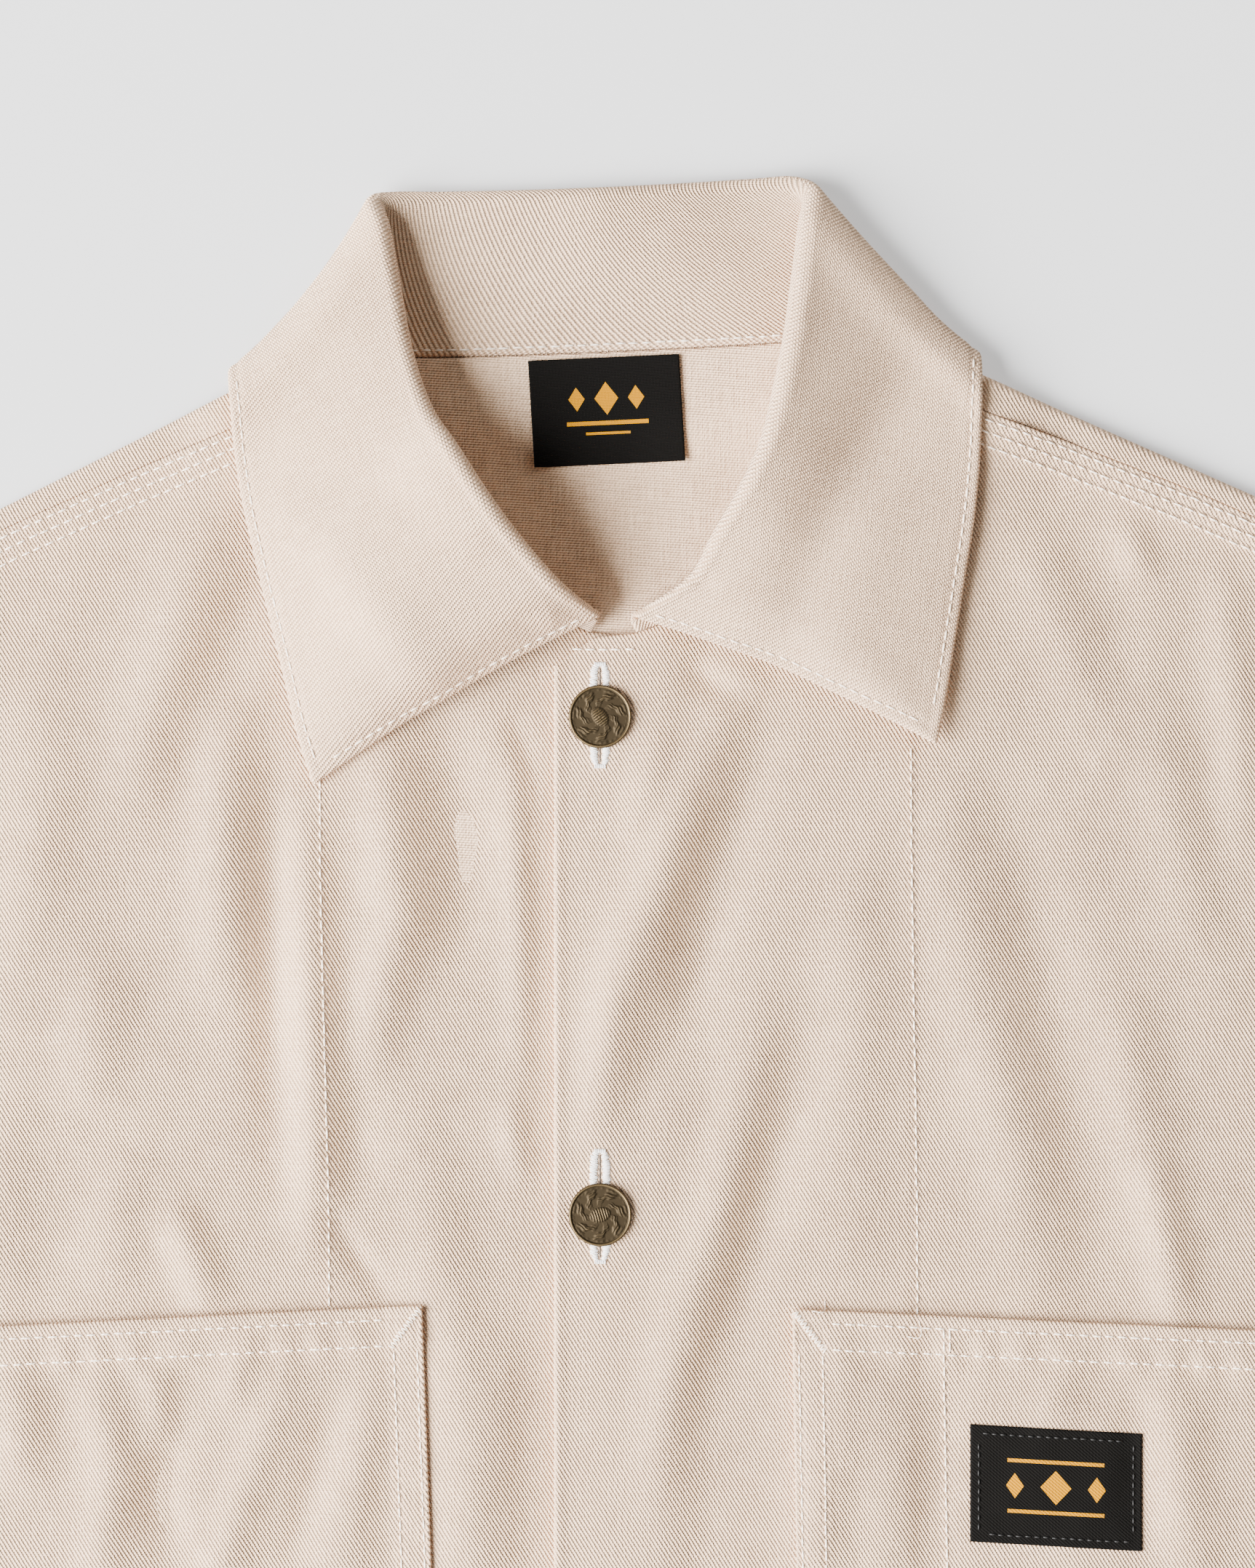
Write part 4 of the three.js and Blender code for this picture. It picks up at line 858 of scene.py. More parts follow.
def panel_grid(side, step):
    """Grid of a front: rows from the top edge to the hem, columns from the buttoned edge outward,
    close together over the chest and wide apart below it. Returns it with the distances to its
    border."""
    sign, start, straight = SIGN[side], PANEL_EDGE_X[side], PANEL_STRAIGHT_X[side]
    columns = spaced((start, sign * PANEL_FINE_X, step), (sign * PANEL_FINE_X, sign * straight, step * 3))
    near = start + sign * CLOTH * np.array([0.06, 0.2, 0.42, 0.7])
    columns = np.concatenate([columns[:1], near, columns[np.abs(columns - start) > CLOTH * 0.8]])
    outer = np.array([0.15, 0.35, 0.6, 0.8, 0.92, 0.985, 1.0])
    top = top_edge(side)
    order = np.argsort(top[:, 0])
    reach = sign * mix(straight, SHOULDER_TIP_X - SEAM_GAP / 2, outer)
    top_y = np.interp(np.concatenate([columns, reach]), top[order, 0], top[order, 1])
    rows = spaced(*((begin, end, step * coarse) for begin, end, coarse in CHEST_TO_HEM))
    share = with_rims(rows / rows[-1], RIM / rows[-1])[:, None]
    y = top_y[None] + (HEM_Y - top_y[None]) * share
    limit = side_x(y[:, len(columns):]) - SEAM_GAP / 2
    x = np.concatenate([np.broadcast_to(columns, (len(share), len(columns))),
                        sign * mix(straight, limit, outer[None])], 1)
    edge = nearest(np.abs(x - start), (top_y[None] - y) * 0.95, y - HEM_Y, np.abs(x[:, -1:] - x))
    return np.stack([x, y, front_height(side, x, y)], -1), edge


def build_front(side, step):
    """One front as a closed wall with rounded rims and a rolled buttoned edge."""
    grid, edge = panel_grid(side, step)
    folded = EDGE_ROLL["height"] * bell(grid[..., 0] - PANEL_EDGE_X[side], EDGE_ROLL["width"])
    half = (CLOTH / 2 + folded) * rim_share(edge, RIM + folded * 1.6)
    thing = build_wall(f"{side}_front_cloth", grid, half, flip=side == "right")
    finish(thing, f"{side}_front")


def neck_line(x):
    """Y of the back's neck seam at x, from the collar's neck points."""
    rows = np.array(RIGHT_COLLAR[9:] + BACK_COLLAR + LEFT_COLLAR[9:][::-1], float)
    return np.interp(x, rows[:, 0], rows[:, 1]) - NECK_GAP


def build_back(step):
    """Back panel: flat on the table up to the neck seam, and round the shoulder folds on to the
    front seams in one cloth, with its wrong side up inside the neck."""
    neck_from, neck_to = SHOULDER["right"][0], SHOULDER["left"][0]
    inner = spaced((-BACK_FINE_X, neck_from, step * 2), (neck_from, neck_to, step * 2),
                   (neck_to, BACK_FINE_X, step * 2))
    outer = np.array([0.15, 0.4, 0.65, 0.85, 0.97, 1.0])
    count = len(outer)
    reach = mix(BACK_FINE_X, SHOULDER_TIP_X - SEAM_GAP / 2, outer)
    top_x = np.concatenate([-reach[::-1], inner, reach])
    columns = len(top_x)
    at = np.arange(columns)
    first = count + int(np.argmin(np.abs(inner - neck_from)))
    last = count + int(np.argmin(np.abs(inner - neck_to)))
    is_neck = (at > first) & (at < last)

    def fold_point(distance):
        """X and Y of the points at a distance inside the shoulders' folded edges."""
        right, left = [(x + inward[0] * distance, y + inward[1] * distance)
                       for x, y, inward in (shoulder_line(side, top_x) for side in SIDES)]
        x, y = [np.where(top_x < 0, a, b) for a, b in zip(right, left)]
        return np.where((at == 0) | (at == columns - 1), top_x, x), y

    fold_x, fold_y = fold_point(SHOULDER_FOLD_RADIUS)
    edge_x = np.where(is_neck, top_x, fold_x)
    edge_y = np.where(is_neck, neck_line(top_x), fold_y)
    rows = spaced((0, 560, step * 7), (560, 740, step * 2))
    share = with_rims(rows / rows[-1], RIM / rows[-1])[:, None]
    y = HEM_Y + (edge_y[None] - HEM_Y) * share
    limit = side_x(y) - SEAM_GAP / 2
    x = np.broadcast_to(edge_x, y.shape).copy()
    x[:, :count] = -mix(BACK_FINE_X, limit[:, :count], outer[::-1][None])
    x[:, -count:] = mix(BACK_FINE_X, limit[:, -count:], outer[None])
    x = np.where(share > 0.94, mix(x, edge_x[None], smooth(share, 0.94, 1.0)), x)
    inside = smooth(y, -140, -60) * (1 - smooth(np.abs(x), 60, 100)) * (1 - smooth(y, -8, 4))
    z = BACK_Z + fall_lift(x, y, BACK_RAMP) + 0.35 * inside * (1 + ripple(x, y, 5.0))
    flat = np.stack([x, y, z], -1)
    radius = SHOULDER_FOLD_RADIUS
    turns = [(radius - radius * math.cos(a), radius + radius * math.sin(a))
             for a in np.radians([-70, -45, -20, 0, 20, 45, 70, 90])]
    turns += [(mix(radius, strip_width(top_x), part), 2 * radius)
              for part in (0.12, 0.3, 0.5, 0.7, 0.84, 0.92, 0.97, 1.0)]
    extra = np.array([np.stack([*fold_point(distance), z[-1] + up], 1) for distance, up in turns])
    grid = np.concatenate([flat, extra])
    below = np.concatenate([share[:, 0], np.ones(len(extra))])[:, None]
    tail = np.concatenate([np.zeros(len(share)), np.linspace(0, 1, len(extra))])[:, None]
    rim = nearest(below * rows[-1], np.where(is_neck[None], (1 - below) * rows[-1], 5),
                  np.where(tail > 0.5, (1 - tail) * 9, 5), np.minimum(at, at[::-1])[None] * 2.0)
    half = CLOTH / 2 * rim_share(rim, RIM)
    used = np.ones((len(grid) - 1, columns - 1), bool)
    used[len(flat) - 1:, first:last] = False
    upper = np.repeat(np.arange(len(grid)) < len(flat), columns)
    wrong = np.concatenate([upper, np.zeros(upper.size)])
    thing = build_wall("back_cloth", grid, half, True, attributes={"wrong_side": wrong}, used=used[:, ::-1])
    finish(thing, "back")


def sleeve_grid(side):
    """Flattened tube: from the armhole to the cuff by share s, and round it by t, the share of the
    way from the top fold to the underarm, with a squared dome between the two folds."""
    sign = SIGN[side]
    s = np.concatenate([[0, 0.002, 0.005], np.linspace(0.012, 0.97, 128), [0.98, 0.992, 0.997, 1]])
    half_turn = (1 - np.cos(np.linspace(0, math.pi, 44))) / 2
    t = np.concatenate([half_turn, half_turn[::-1][1:-1]])
    is_upper = np.arange(len(t)) < len(half_turn)
    tip_x, tip_y, _ = shoulder_line(side, np.array(sign * SHOULDER_TIP_X))
    y0 = mix(float(tip_y), UNDERARM[1], t)
    x0 = sign * (side_x(y0) + 0.6)
    way = np.array([sign * math.sin(SLEEVE_ANGLE), -math.cos(SLEEVE_ANGLE)])
    turned = SLEEVE_ANGLE + CUFF_TURN
    cuff_way = np.array([-sign * math.cos(turned), -math.sin(turned)])
    onward = 2.2 * smooth(-y0, 280, 300)
    hollow = np.sin(math.pi * s)[:, None] * (t - 0.5)[None] * SLEEVE_HOLLOW
    start = [x0 + way[0] * onward, y0 + way[1] * onward]
    seam_z = front_height(side, sign * (side_x(start[1]) - 0.5), start[1])
    cuff = [tip + way[k] * SLEEVE_LENGTH + cuff_way[k] * CUFF_WIDTH * t
            for k, tip in enumerate((tip_x, tip_y))]
    x, y = [mix(start[k][None], cuff[k][None], s[:, None]) + cuff_way[k] * hollow for k in (0, 1)]
    dome = np.sqrt(np.maximum(1 - (2 * t - 1) ** 6, 0))[None]
    folds = sum(h * bell(s[:, None] - a, wa) * bell(t[None] - b, wb) for a, b, wa, wb, h in SLEEVE_FOLDS)
    body = BACK_Z + (SLEEVE_HEIGHT - CLOTH) * 0.55
    tall = body + dome * ((SLEEVE_HEIGHT - CLOTH) * 0.45 + folds + 0.25 * ripple(x, y, 1.3))
    grown = smooth(s, 0, 0.2)[:, None]
    top = mix(seam_z[None], tall, grown)
    middle = mix((BACK_Z + seam_z[None]) / 2, (BACK_Z + body) / 2, grown)
    z = middle + (np.where(is_upper[None], top, BACK_Z) - middle) * dome
    return np.stack([x, y, z], -1), s, is_upper


def build_sleeve(side):
    """One sleeve as a closed wall with an open armhole end and an open cuff."""
    grid, s, _ = sleeve_grid(side)
    length = SLEEVE_LENGTH * np.minimum(s, 1 - s)[:, None]
    half = CLOTH / 2 * rim_share(np.broadcast_to(length, grid.shape[:2]), RIM)
    c, d = math.cos(SLEEVE_ANGLE), SIGN[side] * math.sin(SLEEVE_ANGLE)
    thing = build_wall(f"{side}_sleeve_cloth", grid, half, side == "left",
                       lambda flat: flat @ np.array([[c, d], [-d, c]]), loop=True)
    finish(thing, f"{side}_sleeve")


def collar_grid(step):
    """Collar with close lines at its ends and its free edge, soft leaf folds, and a thin channel
    where the edge stitching runs. Returns the grid, the half thickness, each row's share of the
    length, the last column of the roll, and the lengths run along and across."""
    last = len(COLLAR_ROWS) - 1
    plain = np.linspace(0, 1, last * max(int(round(13.5 / step)), 4) + 1)
    rim = np.array([0.008, 0.025, 0.05, 0.085, 0.14, 0.2, 0.27, 0.34, 0.42]) / last
    inner = plain[(plain > 0.5 / last) & (plain < 1 - 0.5 / last)]
    share = np.sort(np.concatenate([[0, 1], rim, 1 - rim, inner]))
    stand = np.concatenate([[0, 0.02, 0.05, 0.1], np.linspace(0.18, 0.97, 12)])
    angles = np.radians(np.linspace(-90, 90, 17))
    fall = np.concatenate([np.linspace(0, 0.86, 50)[1:],
                           [0.885, 0.91, 0.93, 0.942, 0.954, 0.966, 0.977, 0.986, 0.993, 0.998, 1.0]])
    grid = collar_surface(share, stand, angles, fall)
    split = len(stand) + len(angles) // 2
    normals = grid_normals(grid)
    for side, mask in (("right", share < 0.42), ("left", share > 0.58)):
        bump = fold_height(LEAF_FOLDS[side], grid[..., 0], grid[..., 1])
        keep = mask[:, None] * smooth(np.arange(grid.shape[1]), split, split + 12)[None]
        grid = grid + normals * (bump * keep)[..., None]
    along, across = running(grid, 0), running(grid, 1)
    stitched = nearest(across[:, -1:] - across, along, along[-1:] - along)
    lip = 1.0 + 0.1 * bell(stitched - 1.8, 1.3) - 0.24 * bell(stitched - SEAM_ROWS["collar"] - 0.1, 0.8)
    thin = 1 - 0.16 * smooth(stitched, 4.2, 9)
    half = COLLAR_THICKNESS / 2 * rim_share(np.minimum(stitched, across), COLLAR_THICKNESS / 1.8) * lip * thin
    return grid, half, share, split, along, across


def build_collar(step):
    """Collar as a closed wall, its map read from the leaf past the roll and from the stand before."""
    grid, half, share, split, along, across = collar_grid(step)
    points, faces = shell(grid, half)
    stand_map = np.stack([np.broadcast_to(along[:, split:split + 1], across.shape), across], -1)
    leaf_map = np.empty_like(stand_map)
    for mask, angle in ((share < 0.5, -109.0), (share >= 0.5, -84.0)):
        c, d = math.cos(math.radians(angle)), math.sin(math.radians(angle))
        leaf_map[mask] = grid[mask][..., :2] @ np.array([[c, d], [-d, c]])
    column = faces % across.size % across.shape[1]
    on_leaf = (column.mean(1) > split + 1)[:, None, None]
    uv = np.where(on_leaf, both(leaf_map)[faces], both(stand_map)[faces]).reshape(-1, 2)
    thing = make_mesh("collar_cloth", points, faces, uv, materials=[FINISHES["twill"]])
    finish(thing, "collar")


def pocket_frame(side, u, v):
    """Point on a pocket in the plane: u from the inner side outward, v from the opening down."""
    sizes = POCKET[side]
    x0, y0 = sizes["corner"]
    return x0 + (sizes["foot_x"] - x0) * v / POCKET_DEPTH + SIGN[side] * u, y0 - sizes["tilt"] * u - v


def pocket_lift(u, v, width, seed):
    """Height of the pocket over the front: cloth on cloth, the doubled hem at the opening with its
    puckers, the turned edges at the sides and the sunk stitch lines."""
    edge = nearest(u, width - u, POCKET_DEPTH - v)
    hem = 0.55 * (1 - smooth(v, POCKET_HEM[1] - 0.6, POCKET_HEM[1] + 1.6))
    turned = 0.32 * (1 - smooth(edge, 8.0, 10.5))
    rows = sum(bell(v - row, 0.75) for row in POCKET_HEM)
    seams = sum(bell(edge - row, 0.75) for row in POCKET_SIDE_ROWS) * smooth(v, 2, 6)
    pucker = 0.34 * np.sin(u * 0.52 + 1.6 * np.sin(u * 0.11 + seed)) * bell(v - 9.5, 4.5)
    side_pucker = 0.14 * np.sin(v * 0.6 + 1.3 * np.sin(v * 0.13 + seed)) * bell(edge - 5, 3.2)
    gape = 0.9 * np.sin(np.clip(u / width, 0, 1) * math.pi) ** 0.7 * (1 - smooth(v, 0, 18))
    return CLOTH + 0.35 + hem + turned - 0.3 * rows - 0.26 * seams + pucker + side_pucker + gape


def pocket_point(side, u, v):
    """Point of a pocket's middle surface from its own measures."""
    x, y = pocket_frame(side, u, v)
    width = POCKET[side]["width"]
    keep = smooth(nearest(u, width - u, v), 6, 20)
    z = (front_height(side, x, y) + pocket_lift(u, v, width, PUCKER_SEED[side])
         + keep * fold_height(POCKET_FOLDS[side], x, y))
    return np.stack([x, y, z], -1)


def build_pocket(side, step):
    """Patch pocket as a closed wall with close lines at its rims and stitch rows."""
    width, depth = POCKET[side]["width"], POCKET_DEPTH
    u = with_rims(spaced((0, 11, 0.7), (11, width - 11, step), (width - 11, width, 0.7)), RIM)
    v = with_rims(spaced((0, 14, 0.7), (14, 78, step), (78, depth - 11, step * 3),
                         (depth - 11, depth, 0.9)), RIM)
    uu, vv = np.meshgrid(u, v)
    half = CLOTH / 2 * rim_share(nearest(uu, width - uu, vv, depth - vv), RIM)
    thing = build_wall(f"{side}_pocket_cloth", pocket_point(side, uu, vv), half, side == "right",
                       lambda flat: flat + POCKET_MAP_SHIFT)
    finish(thing, f"{side}_chest_pocket")


def on_front(side, x, y, lift):
    """Points on a front's face."""
    return np.stack([x, y, front_height(side, x, y) + CLOTH / 2 + lift], -1)


def seam_lines():
    """Rows of stitches of the body: facing lines, neck edge, shoulders, armholes and hem."""
    lines = []
    for side in SIDES:
        x, drift, top, settled = FACING_ROWS[side]
        y = np.linspace(top, -722, 400)
        lines.append(on_front(side, x + drift * smooth(y, top, settled), y, CLOSE_LIFT))
    x = np.linspace(*NECK_EDGE_ROW["x"], 60)
    lines.append(on_front("left", x, np.full(len(x), NECK_EDGE_ROW["y"]), LOOSE_LIFT))
    for side, shoulder_from, armhole_from, hem_from in (("right", 99, -78, 14), ("left", 103, -64, -10)):
        sign = SIGN[side]
        reach = np.linspace(shoulder_from, 228, 200)
        for offset in SEAM_ROWS["shoulder"]:
            x, y, inward = shoulder_line(side, sign * reach)
            distance = strip_width(reach) + offset
            lines.append(on_front(side, x + inward[0] * distance, y + inward[1] * distance, SEAM_LIFT))
        y = np.linspace(armhole_from, -292, 220)
        for offset in SEAM_ROWS["armhole"]:
            lines.append(on_front(side, sign * (side_x(y) - offset), y, CLOSE_LIFT))
        x = sign * np.linspace(hem_from, 286, 300)
        lines.append(on_front(side, x, np.full(len(x), HEM_Y + SEAM_ROWS["hem"]), CLOSE_LIFT))
    return lines


def cuff_line(side):
    """Stitch row of a cuff's hem on the upper side of the sleeve."""
    grid, s, is_upper = sleeve_grid(side)
    upper = grid[:, is_upper]
    at = 1 - SEAM_ROWS["cuff"] / SLEEVE_LENGTH
    line = np.array([point_at(at, s, upper[:, c]) for c in range(2, upper.shape[1] - 2)])
    line[:, 2] += CLOTH / 2 + LOOSE_LIFT
    return line


def pocket_lines(side):
    """Stitch rows of a pocket: two along the opening, two down the sides and round the foot, and
    those of the pencil slot on the left one."""
    width = POCKET[side]["width"]
    measures = [(np.linspace(9, width - 9, 260), row) for row in POCKET_HEM]
    for row in POCKET_SIDE_ROWS:
        down = np.linspace(POCKET_HEM[1], POCKET_DEPTH - row, 240)
        foot = np.linspace(row, width - row, 240)
        measures += [(row, down), (width - row, down), (foot, POCKET_DEPTH - row)]
    if side == "left":
        measures += [(u, np.linspace(2.0, end, count)) for u, end, count in PENCIL_SLOT_ROWS]
    lines = [pocket_point(side, *np.broadcast_arrays(u, v)) for u, v in measures]
    for line in lines:
        line[:, 2] += CLOTH / 2 + POCKET_STITCH_LIFT
    return lines


def collar_lines(step):
    """Edge stitching of the collar's two leaves, a fixed way in from the ends and the free edge, and
    the row over the neck seam behind."""
    grid, half, share, split, along, across = collar_grid(step)
    face = grid + grid_normals(grid) * half[..., None]
    inset = SEAM_ROWS["collar"]
    lines = []
    for end, reach in ((0, along), (-1, along[-1:] - along)):
        columns = [c for c in range(split + 7, grid.shape[1]) if across[end, -1] - across[end, c] >= inset]
        orders = [np.argsort(reach[:, c]) for c in columns]
        lines.append(np.array([point_at(inset, reach[order, c], face[order, c])
                               for c, order in zip(columns, orders)]))
    outer = np.array([point_at(a[-1] - inset, a, f) for a, f in zip(across, face)])
    seam = np.array([point_at(STAND_ROW, a, f) for a, f in zip(across, face)])
    right = (share < 0.335) & (along[:, -1] > inset)
    left = (share > 0.665) & (along[-1, -1] - along[:, -1] > inset)
    lines += [outer[right], outer[left], seam[(share > 0.3) & (share < 0.7)]]
    for line in lines:
        line[:, 2] += LOOSE_LIFT
    return lines


def build_threads(name, parts, material):
    """Many small threads or strips as one joined mesh that replaces no node."""
    finish(make_mesh(name, *join(parts), materials=[FINISHES[material]]), None)


def build_tacks():
    """Slanted tacks at the pockets' upper corners: close threads across a line between the rows."""
    parts = []
    share = np.linspace(0, 1, 22)
    for side in SIDES:
        u = 0.8 + 7.8 * share
        for from_inner in (u, POCKET[side]["width"] - u):
            line = pocket_point(side, from_inner, 1.0 + 9.8 * share)
            line[:, 2] += CLOTH / 2 + POCKET_STITCH_LIFT
            way = unit(line[-1] - line[0])
            across = np.array([-way[1], way[0], 0.0]) * 0.95
            zigzag = way * 0.25 * (-1.0) ** np.arange(len(line))[:, None]
            parts.append(threads(line - across - zigzag, line + across + zigzag, 0.24, 0.14))
    build_threads("pocket_tacks", parts, "thread")


def build_stitching(name, lines, pitch, material="thread"):
    """All rows of stitches of one part of the jacket as one joined mesh."""
    parts = [stitch_row(line, pitch, seed) for seed, line in enumerate(lines)]
    build_threads(name, [part for part in parts if len(part[0])], material)


def bar(y, z):
    """Tack at a buttonhole's end: six close threads in the buttonhole's direction, side by side."""
    x = np.linspace(-1.3, 1.3, 6)
    low, high = [np.stack([x, np.full(6, y + reach), np.full(6, z)], 1) for reach in (-0.65, 0.65)]
    radius = BUTTONHOLE_THREAD["radius"]
    return threads(low, high, radius, radius * 0.7)


def build_buttonholes():
    """Buttonholes: two legs of close slanted threads with a gap between them, a bar at each end, and
    a dark sheet of painted shade in the slit between the legs."""
    rng = np.random.default_rng(7)
    parts, slit_shades = [], []
    size = BUTTONHOLE_THREAD
    for y, (above, below) in zip(BUTTON_YS, BUTTONHOLE_REACH):
        top, bottom = y + above, y + below
        count = int((top - bottom) / size["spacing"])
        ys = np.linspace(top, bottom, count)
        bulge = 0.5 * bell(ys - y, 5)
        from_middle = np.abs(ys - (top + bottom) / 2) / ((top - bottom) / 2)
        arch = np.sqrt(np.clip(1 - from_middle ** 9, 0, 1))
        base = front_height("left", np.zeros(count), ys) + CLOTH / 2
        for side in (-1, 1):
            inner = side * (size["gap"] + bulge) * arch + rng.normal(0, 0.1, count)
            outer = side * (1.0 + (size["leg"] + bulge) * arch) + rng.normal(0, 0.16, count)
            slant = rng.normal(0.35, 0.1, count)
            a = np.stack([inner, ys - slant, base + 0.12], 1)
            b = np.stack([outer, ys + slant, base + 0.04], 1)
            parts.append(threads(a, b, size["radius"], size["arch"]))
        for end, way in ((top, 1), (bottom, -1)):
            z = float(front_height("left", np.array(0.0), np.array(end))) + CLOTH / 2 + 0.15
            parts.append(bar(end + way * 0.1, z))
        # Painted shade: a thin dark sheet laid in the slit between the legs
        line_y = np.linspace(top - 1, bottom + 1, 24)
        wide = 0.2 + 0.08 * np.sin(np.linspace(0, math.pi, 24))
        z = front_height("left", np.zeros(24), line_y) + CLOTH / 2 + 0.03
        grid = np.stack([np.stack([x, line_y, z], 1) for x in (-wide, wide)], 1)
        slit_shades.append(shell(grid, 0.02))
    build_threads("buttonhole_thread", parts, "white_thread")
    build_threads("buttonhole_slit_shades", slit_shades, "slit")


def button_relief(radius, angle):
    """Raised work on the button's face: a ring of eight slanted leaves, each with a mid rib, round a
    small domed middle ruled with straight lines."""
    leaf_turn = angle * 7 + 2.4 * np.sin((radius - 4.6) * 0.8) + 0.6 * np.sin(angle * 14)
    inside = bell(radius - 5.2, 1.75)
    leaf = np.clip(np.cos(leaf_turn) + 0.3 * np.cos(leaf_turn * 3 + radius * 3.1), -0.15, 1) * inside
    rib = bell(np.sin(leaf_turn / 2), 0.1) * inside * 0.8
    veins = 0.24 * np.cos(leaf_turn * 2 + radius * 6.0) * inside * (np.cos(leaf_turn) > 0)
    x = radius * np.cos(angle + 0.6)
    y = radius * np.sin(angle + 0.6)
    shape = np.clip(1 - (x / 2.9) ** 2 - (y / 2.0) ** 2, 0, 1)
    ruled = np.sqrt(shape) * (1 + 0.4 * np.sign(np.cos(2 * math.pi * x / 0.66)))
    beads = bell(np.sin(angle * 16), 0.35) * bell(radius - 7.2, 0.2)
    return 0.3 * leaf - 0.12 * rib + veins * 0.5 + 0.36 * ruled + 0.14 * beads


def button_caps(index, pole, flip):
    """Faces from one ring of points to a pole, each taking two steps of the ring."""
    at = np.arange(0, len(index), 2)
    ring = [index[at], index[at + 1], index[(at + 2) % len(index)]]
    return np.stack([np.full(len(at), pole), *(ring[::-1] if flip else ring)], 1)


def build_buttons():
    """Five turned buttons: profile points swept round, then the raised face inside the rim."""
    angle = 2 * math.pi * np.arange(BUTTON_SIDES) / BUTTON_SIDES
    face_radius = np.concatenate([np.linspace(BUTTON_FACE_RADIUS, 0.25, 46), [0.02]])
    radius = np.concatenate([BUTTON_PROFILE[:, 0], face_radius])
    face_z = BUTTON_FACE_Z + 0.15 * np.clip(1 - (face_radius / BUTTON_FACE_RADIUS) ** 2, 0, 1)
    height = np.concatenate([BUTTON_PROFILE[:, 1], face_z])[:, None]
    rows = len(radius)
    rr, aa = np.meshgrid(radius, angle, indexing="ij")
    is_face = (np.arange(rows) >= len(BUTTON_PROFILE))[:, None]
    index = np.arange(rows * BUTTON_SIDES).reshape(rows, BUTTON_SIDES)
    follow = np.roll(index, -1, 1)
    walls = np.stack([index[:-1], follow[:-1], follow[1:], index[1:]], -1).reshape(-1, 4)
    faces = np.concatenate([walls, button_caps(index[0], index.size, True),
                            button_caps(index[-1], index.size + 1, False)])
    for k, y in enumerate(BUTTON_YS):
        relief = np.where(is_face, button_relief(rr, aa + 0.35 + 1.9 * k), 0)
        tilt = np.maximum(0.02 * rr * np.cos(aa + 0.5 + k), -0.1)
        grid = np.stack([rr * np.cos(aa), y + rr * np.sin(aa), BUTTON_BASE_Z + height + relief + tilt], -1)
        poles = np.array([[0, y, BUTTON_BASE_Z], [0, y, grid[-1, :, 2].mean()]])
        proud = np.where(is_face, np.clip((relief - 0.18) * 2.4, 0, 0.5), bell(rr - 8.0, 0.3) * 0.8)
        thing = make_mesh(f"button_cap_{k + 1}", np.concatenate([grid.reshape(-1, 3), poles]), faces, None,
                          {"proud": np.concatenate([proud.ravel(), [0.0, 0.5]])}, [FINISHES["brass"]])
        finish(thing, f"button_{k + 1}")


def inside_neck(x, y):
    """Height of the neck label's middle over the back's inside, its lower corners standing off."""
    return (BACK_Z + fall_lift(x, y, BACK_RAMP) + CLOTH / 2 + LABEL_THICKNESS / 2 + 0.45
            + 1.0 * smooth(-y, -2, 20) * smooth(np.abs(x - 1), 6, 22))


def on_left_pocket(x, y):
    """Height of the chest label's middle over the left pocket's face."""
    sizes = POCKET["left"]
    u = x - sizes["corner"][0]
    v = sizes["corner"][1] - sizes["tilt"] * u - y
    return pocket_point("left", u, v)[..., 2] + CLOTH / 2 + LABEL_THICKNESS / 2 - 0.1


def build_label(name, size, height):
    """Woven label as a thin closed wall laid on the cloth below it by a height function, its edge
    stitches sunk, with a map in millimetres."""
    xs = with_rims(spaced((*size["x"], 1.0)), LABEL_RIM)
    drops = with_rims(spaced((0, size["drop"], 1.0)), LABEL_RIM)
    dx, dd = np.meshgrid(xs, drops)
    x, y = dx - size["lean"] * dd, size["top"] + size["rise"] * dx - dd
    border = nearest(dx - xs[0], xs[-1] - dx, dd, size["drop"] - dd)
    sunk = 1 - 0.22 * bell(border - size["inset"], 0.5) if "inset" in size else 1.0
    points, faces = shell(np.stack([x, y, height(x, y)], -1),
                          LABEL_THICKNESS * LABEL_WALL * rim_share(border, LABEL_RIM) * sunk)
    uv = both(np.stack([dx - size["map_x"], -dd], -1))
    node = name.rsplit("_", 1)[0]
    thing = make_mesh(name, points, faces, uv, materials=[FINISHES[node]])
    finish(thing, node)


def build_labels():
    """Neck label sewn to the inside of the back, and chest label on the left pocket."""
    build_label("neck_label_ribbon", NECK_LABEL, inside_neck)
    build_label("chest_label_patch", CHEST_LABEL, on_left_pocket)
    size = CHEST_LABEL
    inset = size["inset"]
    left, right, foot = size["x"][0] + inset, size["x"][1] - inset, size["drop"] - inset
    corners = [(left, inset), (right, inset), (right, foot), (left, foot), (left, inset)]
    share = np.linspace(0, 1, 60)
    lines = []
    for (x0, d0), (x1, d1) in zip(corners[:-1], corners[1:]):
        x = mix(x0, x1, share)
        y = size["top"] + size["rise"] * x - mix(d0, d1, share)
        lines.append(np.stack([x, y, on_left_pocket(x, y) + LABEL_THICKNESS * 0.36], -1))
    build_stitching("label_stitching", lines, LABEL_STITCH, "black_thread")


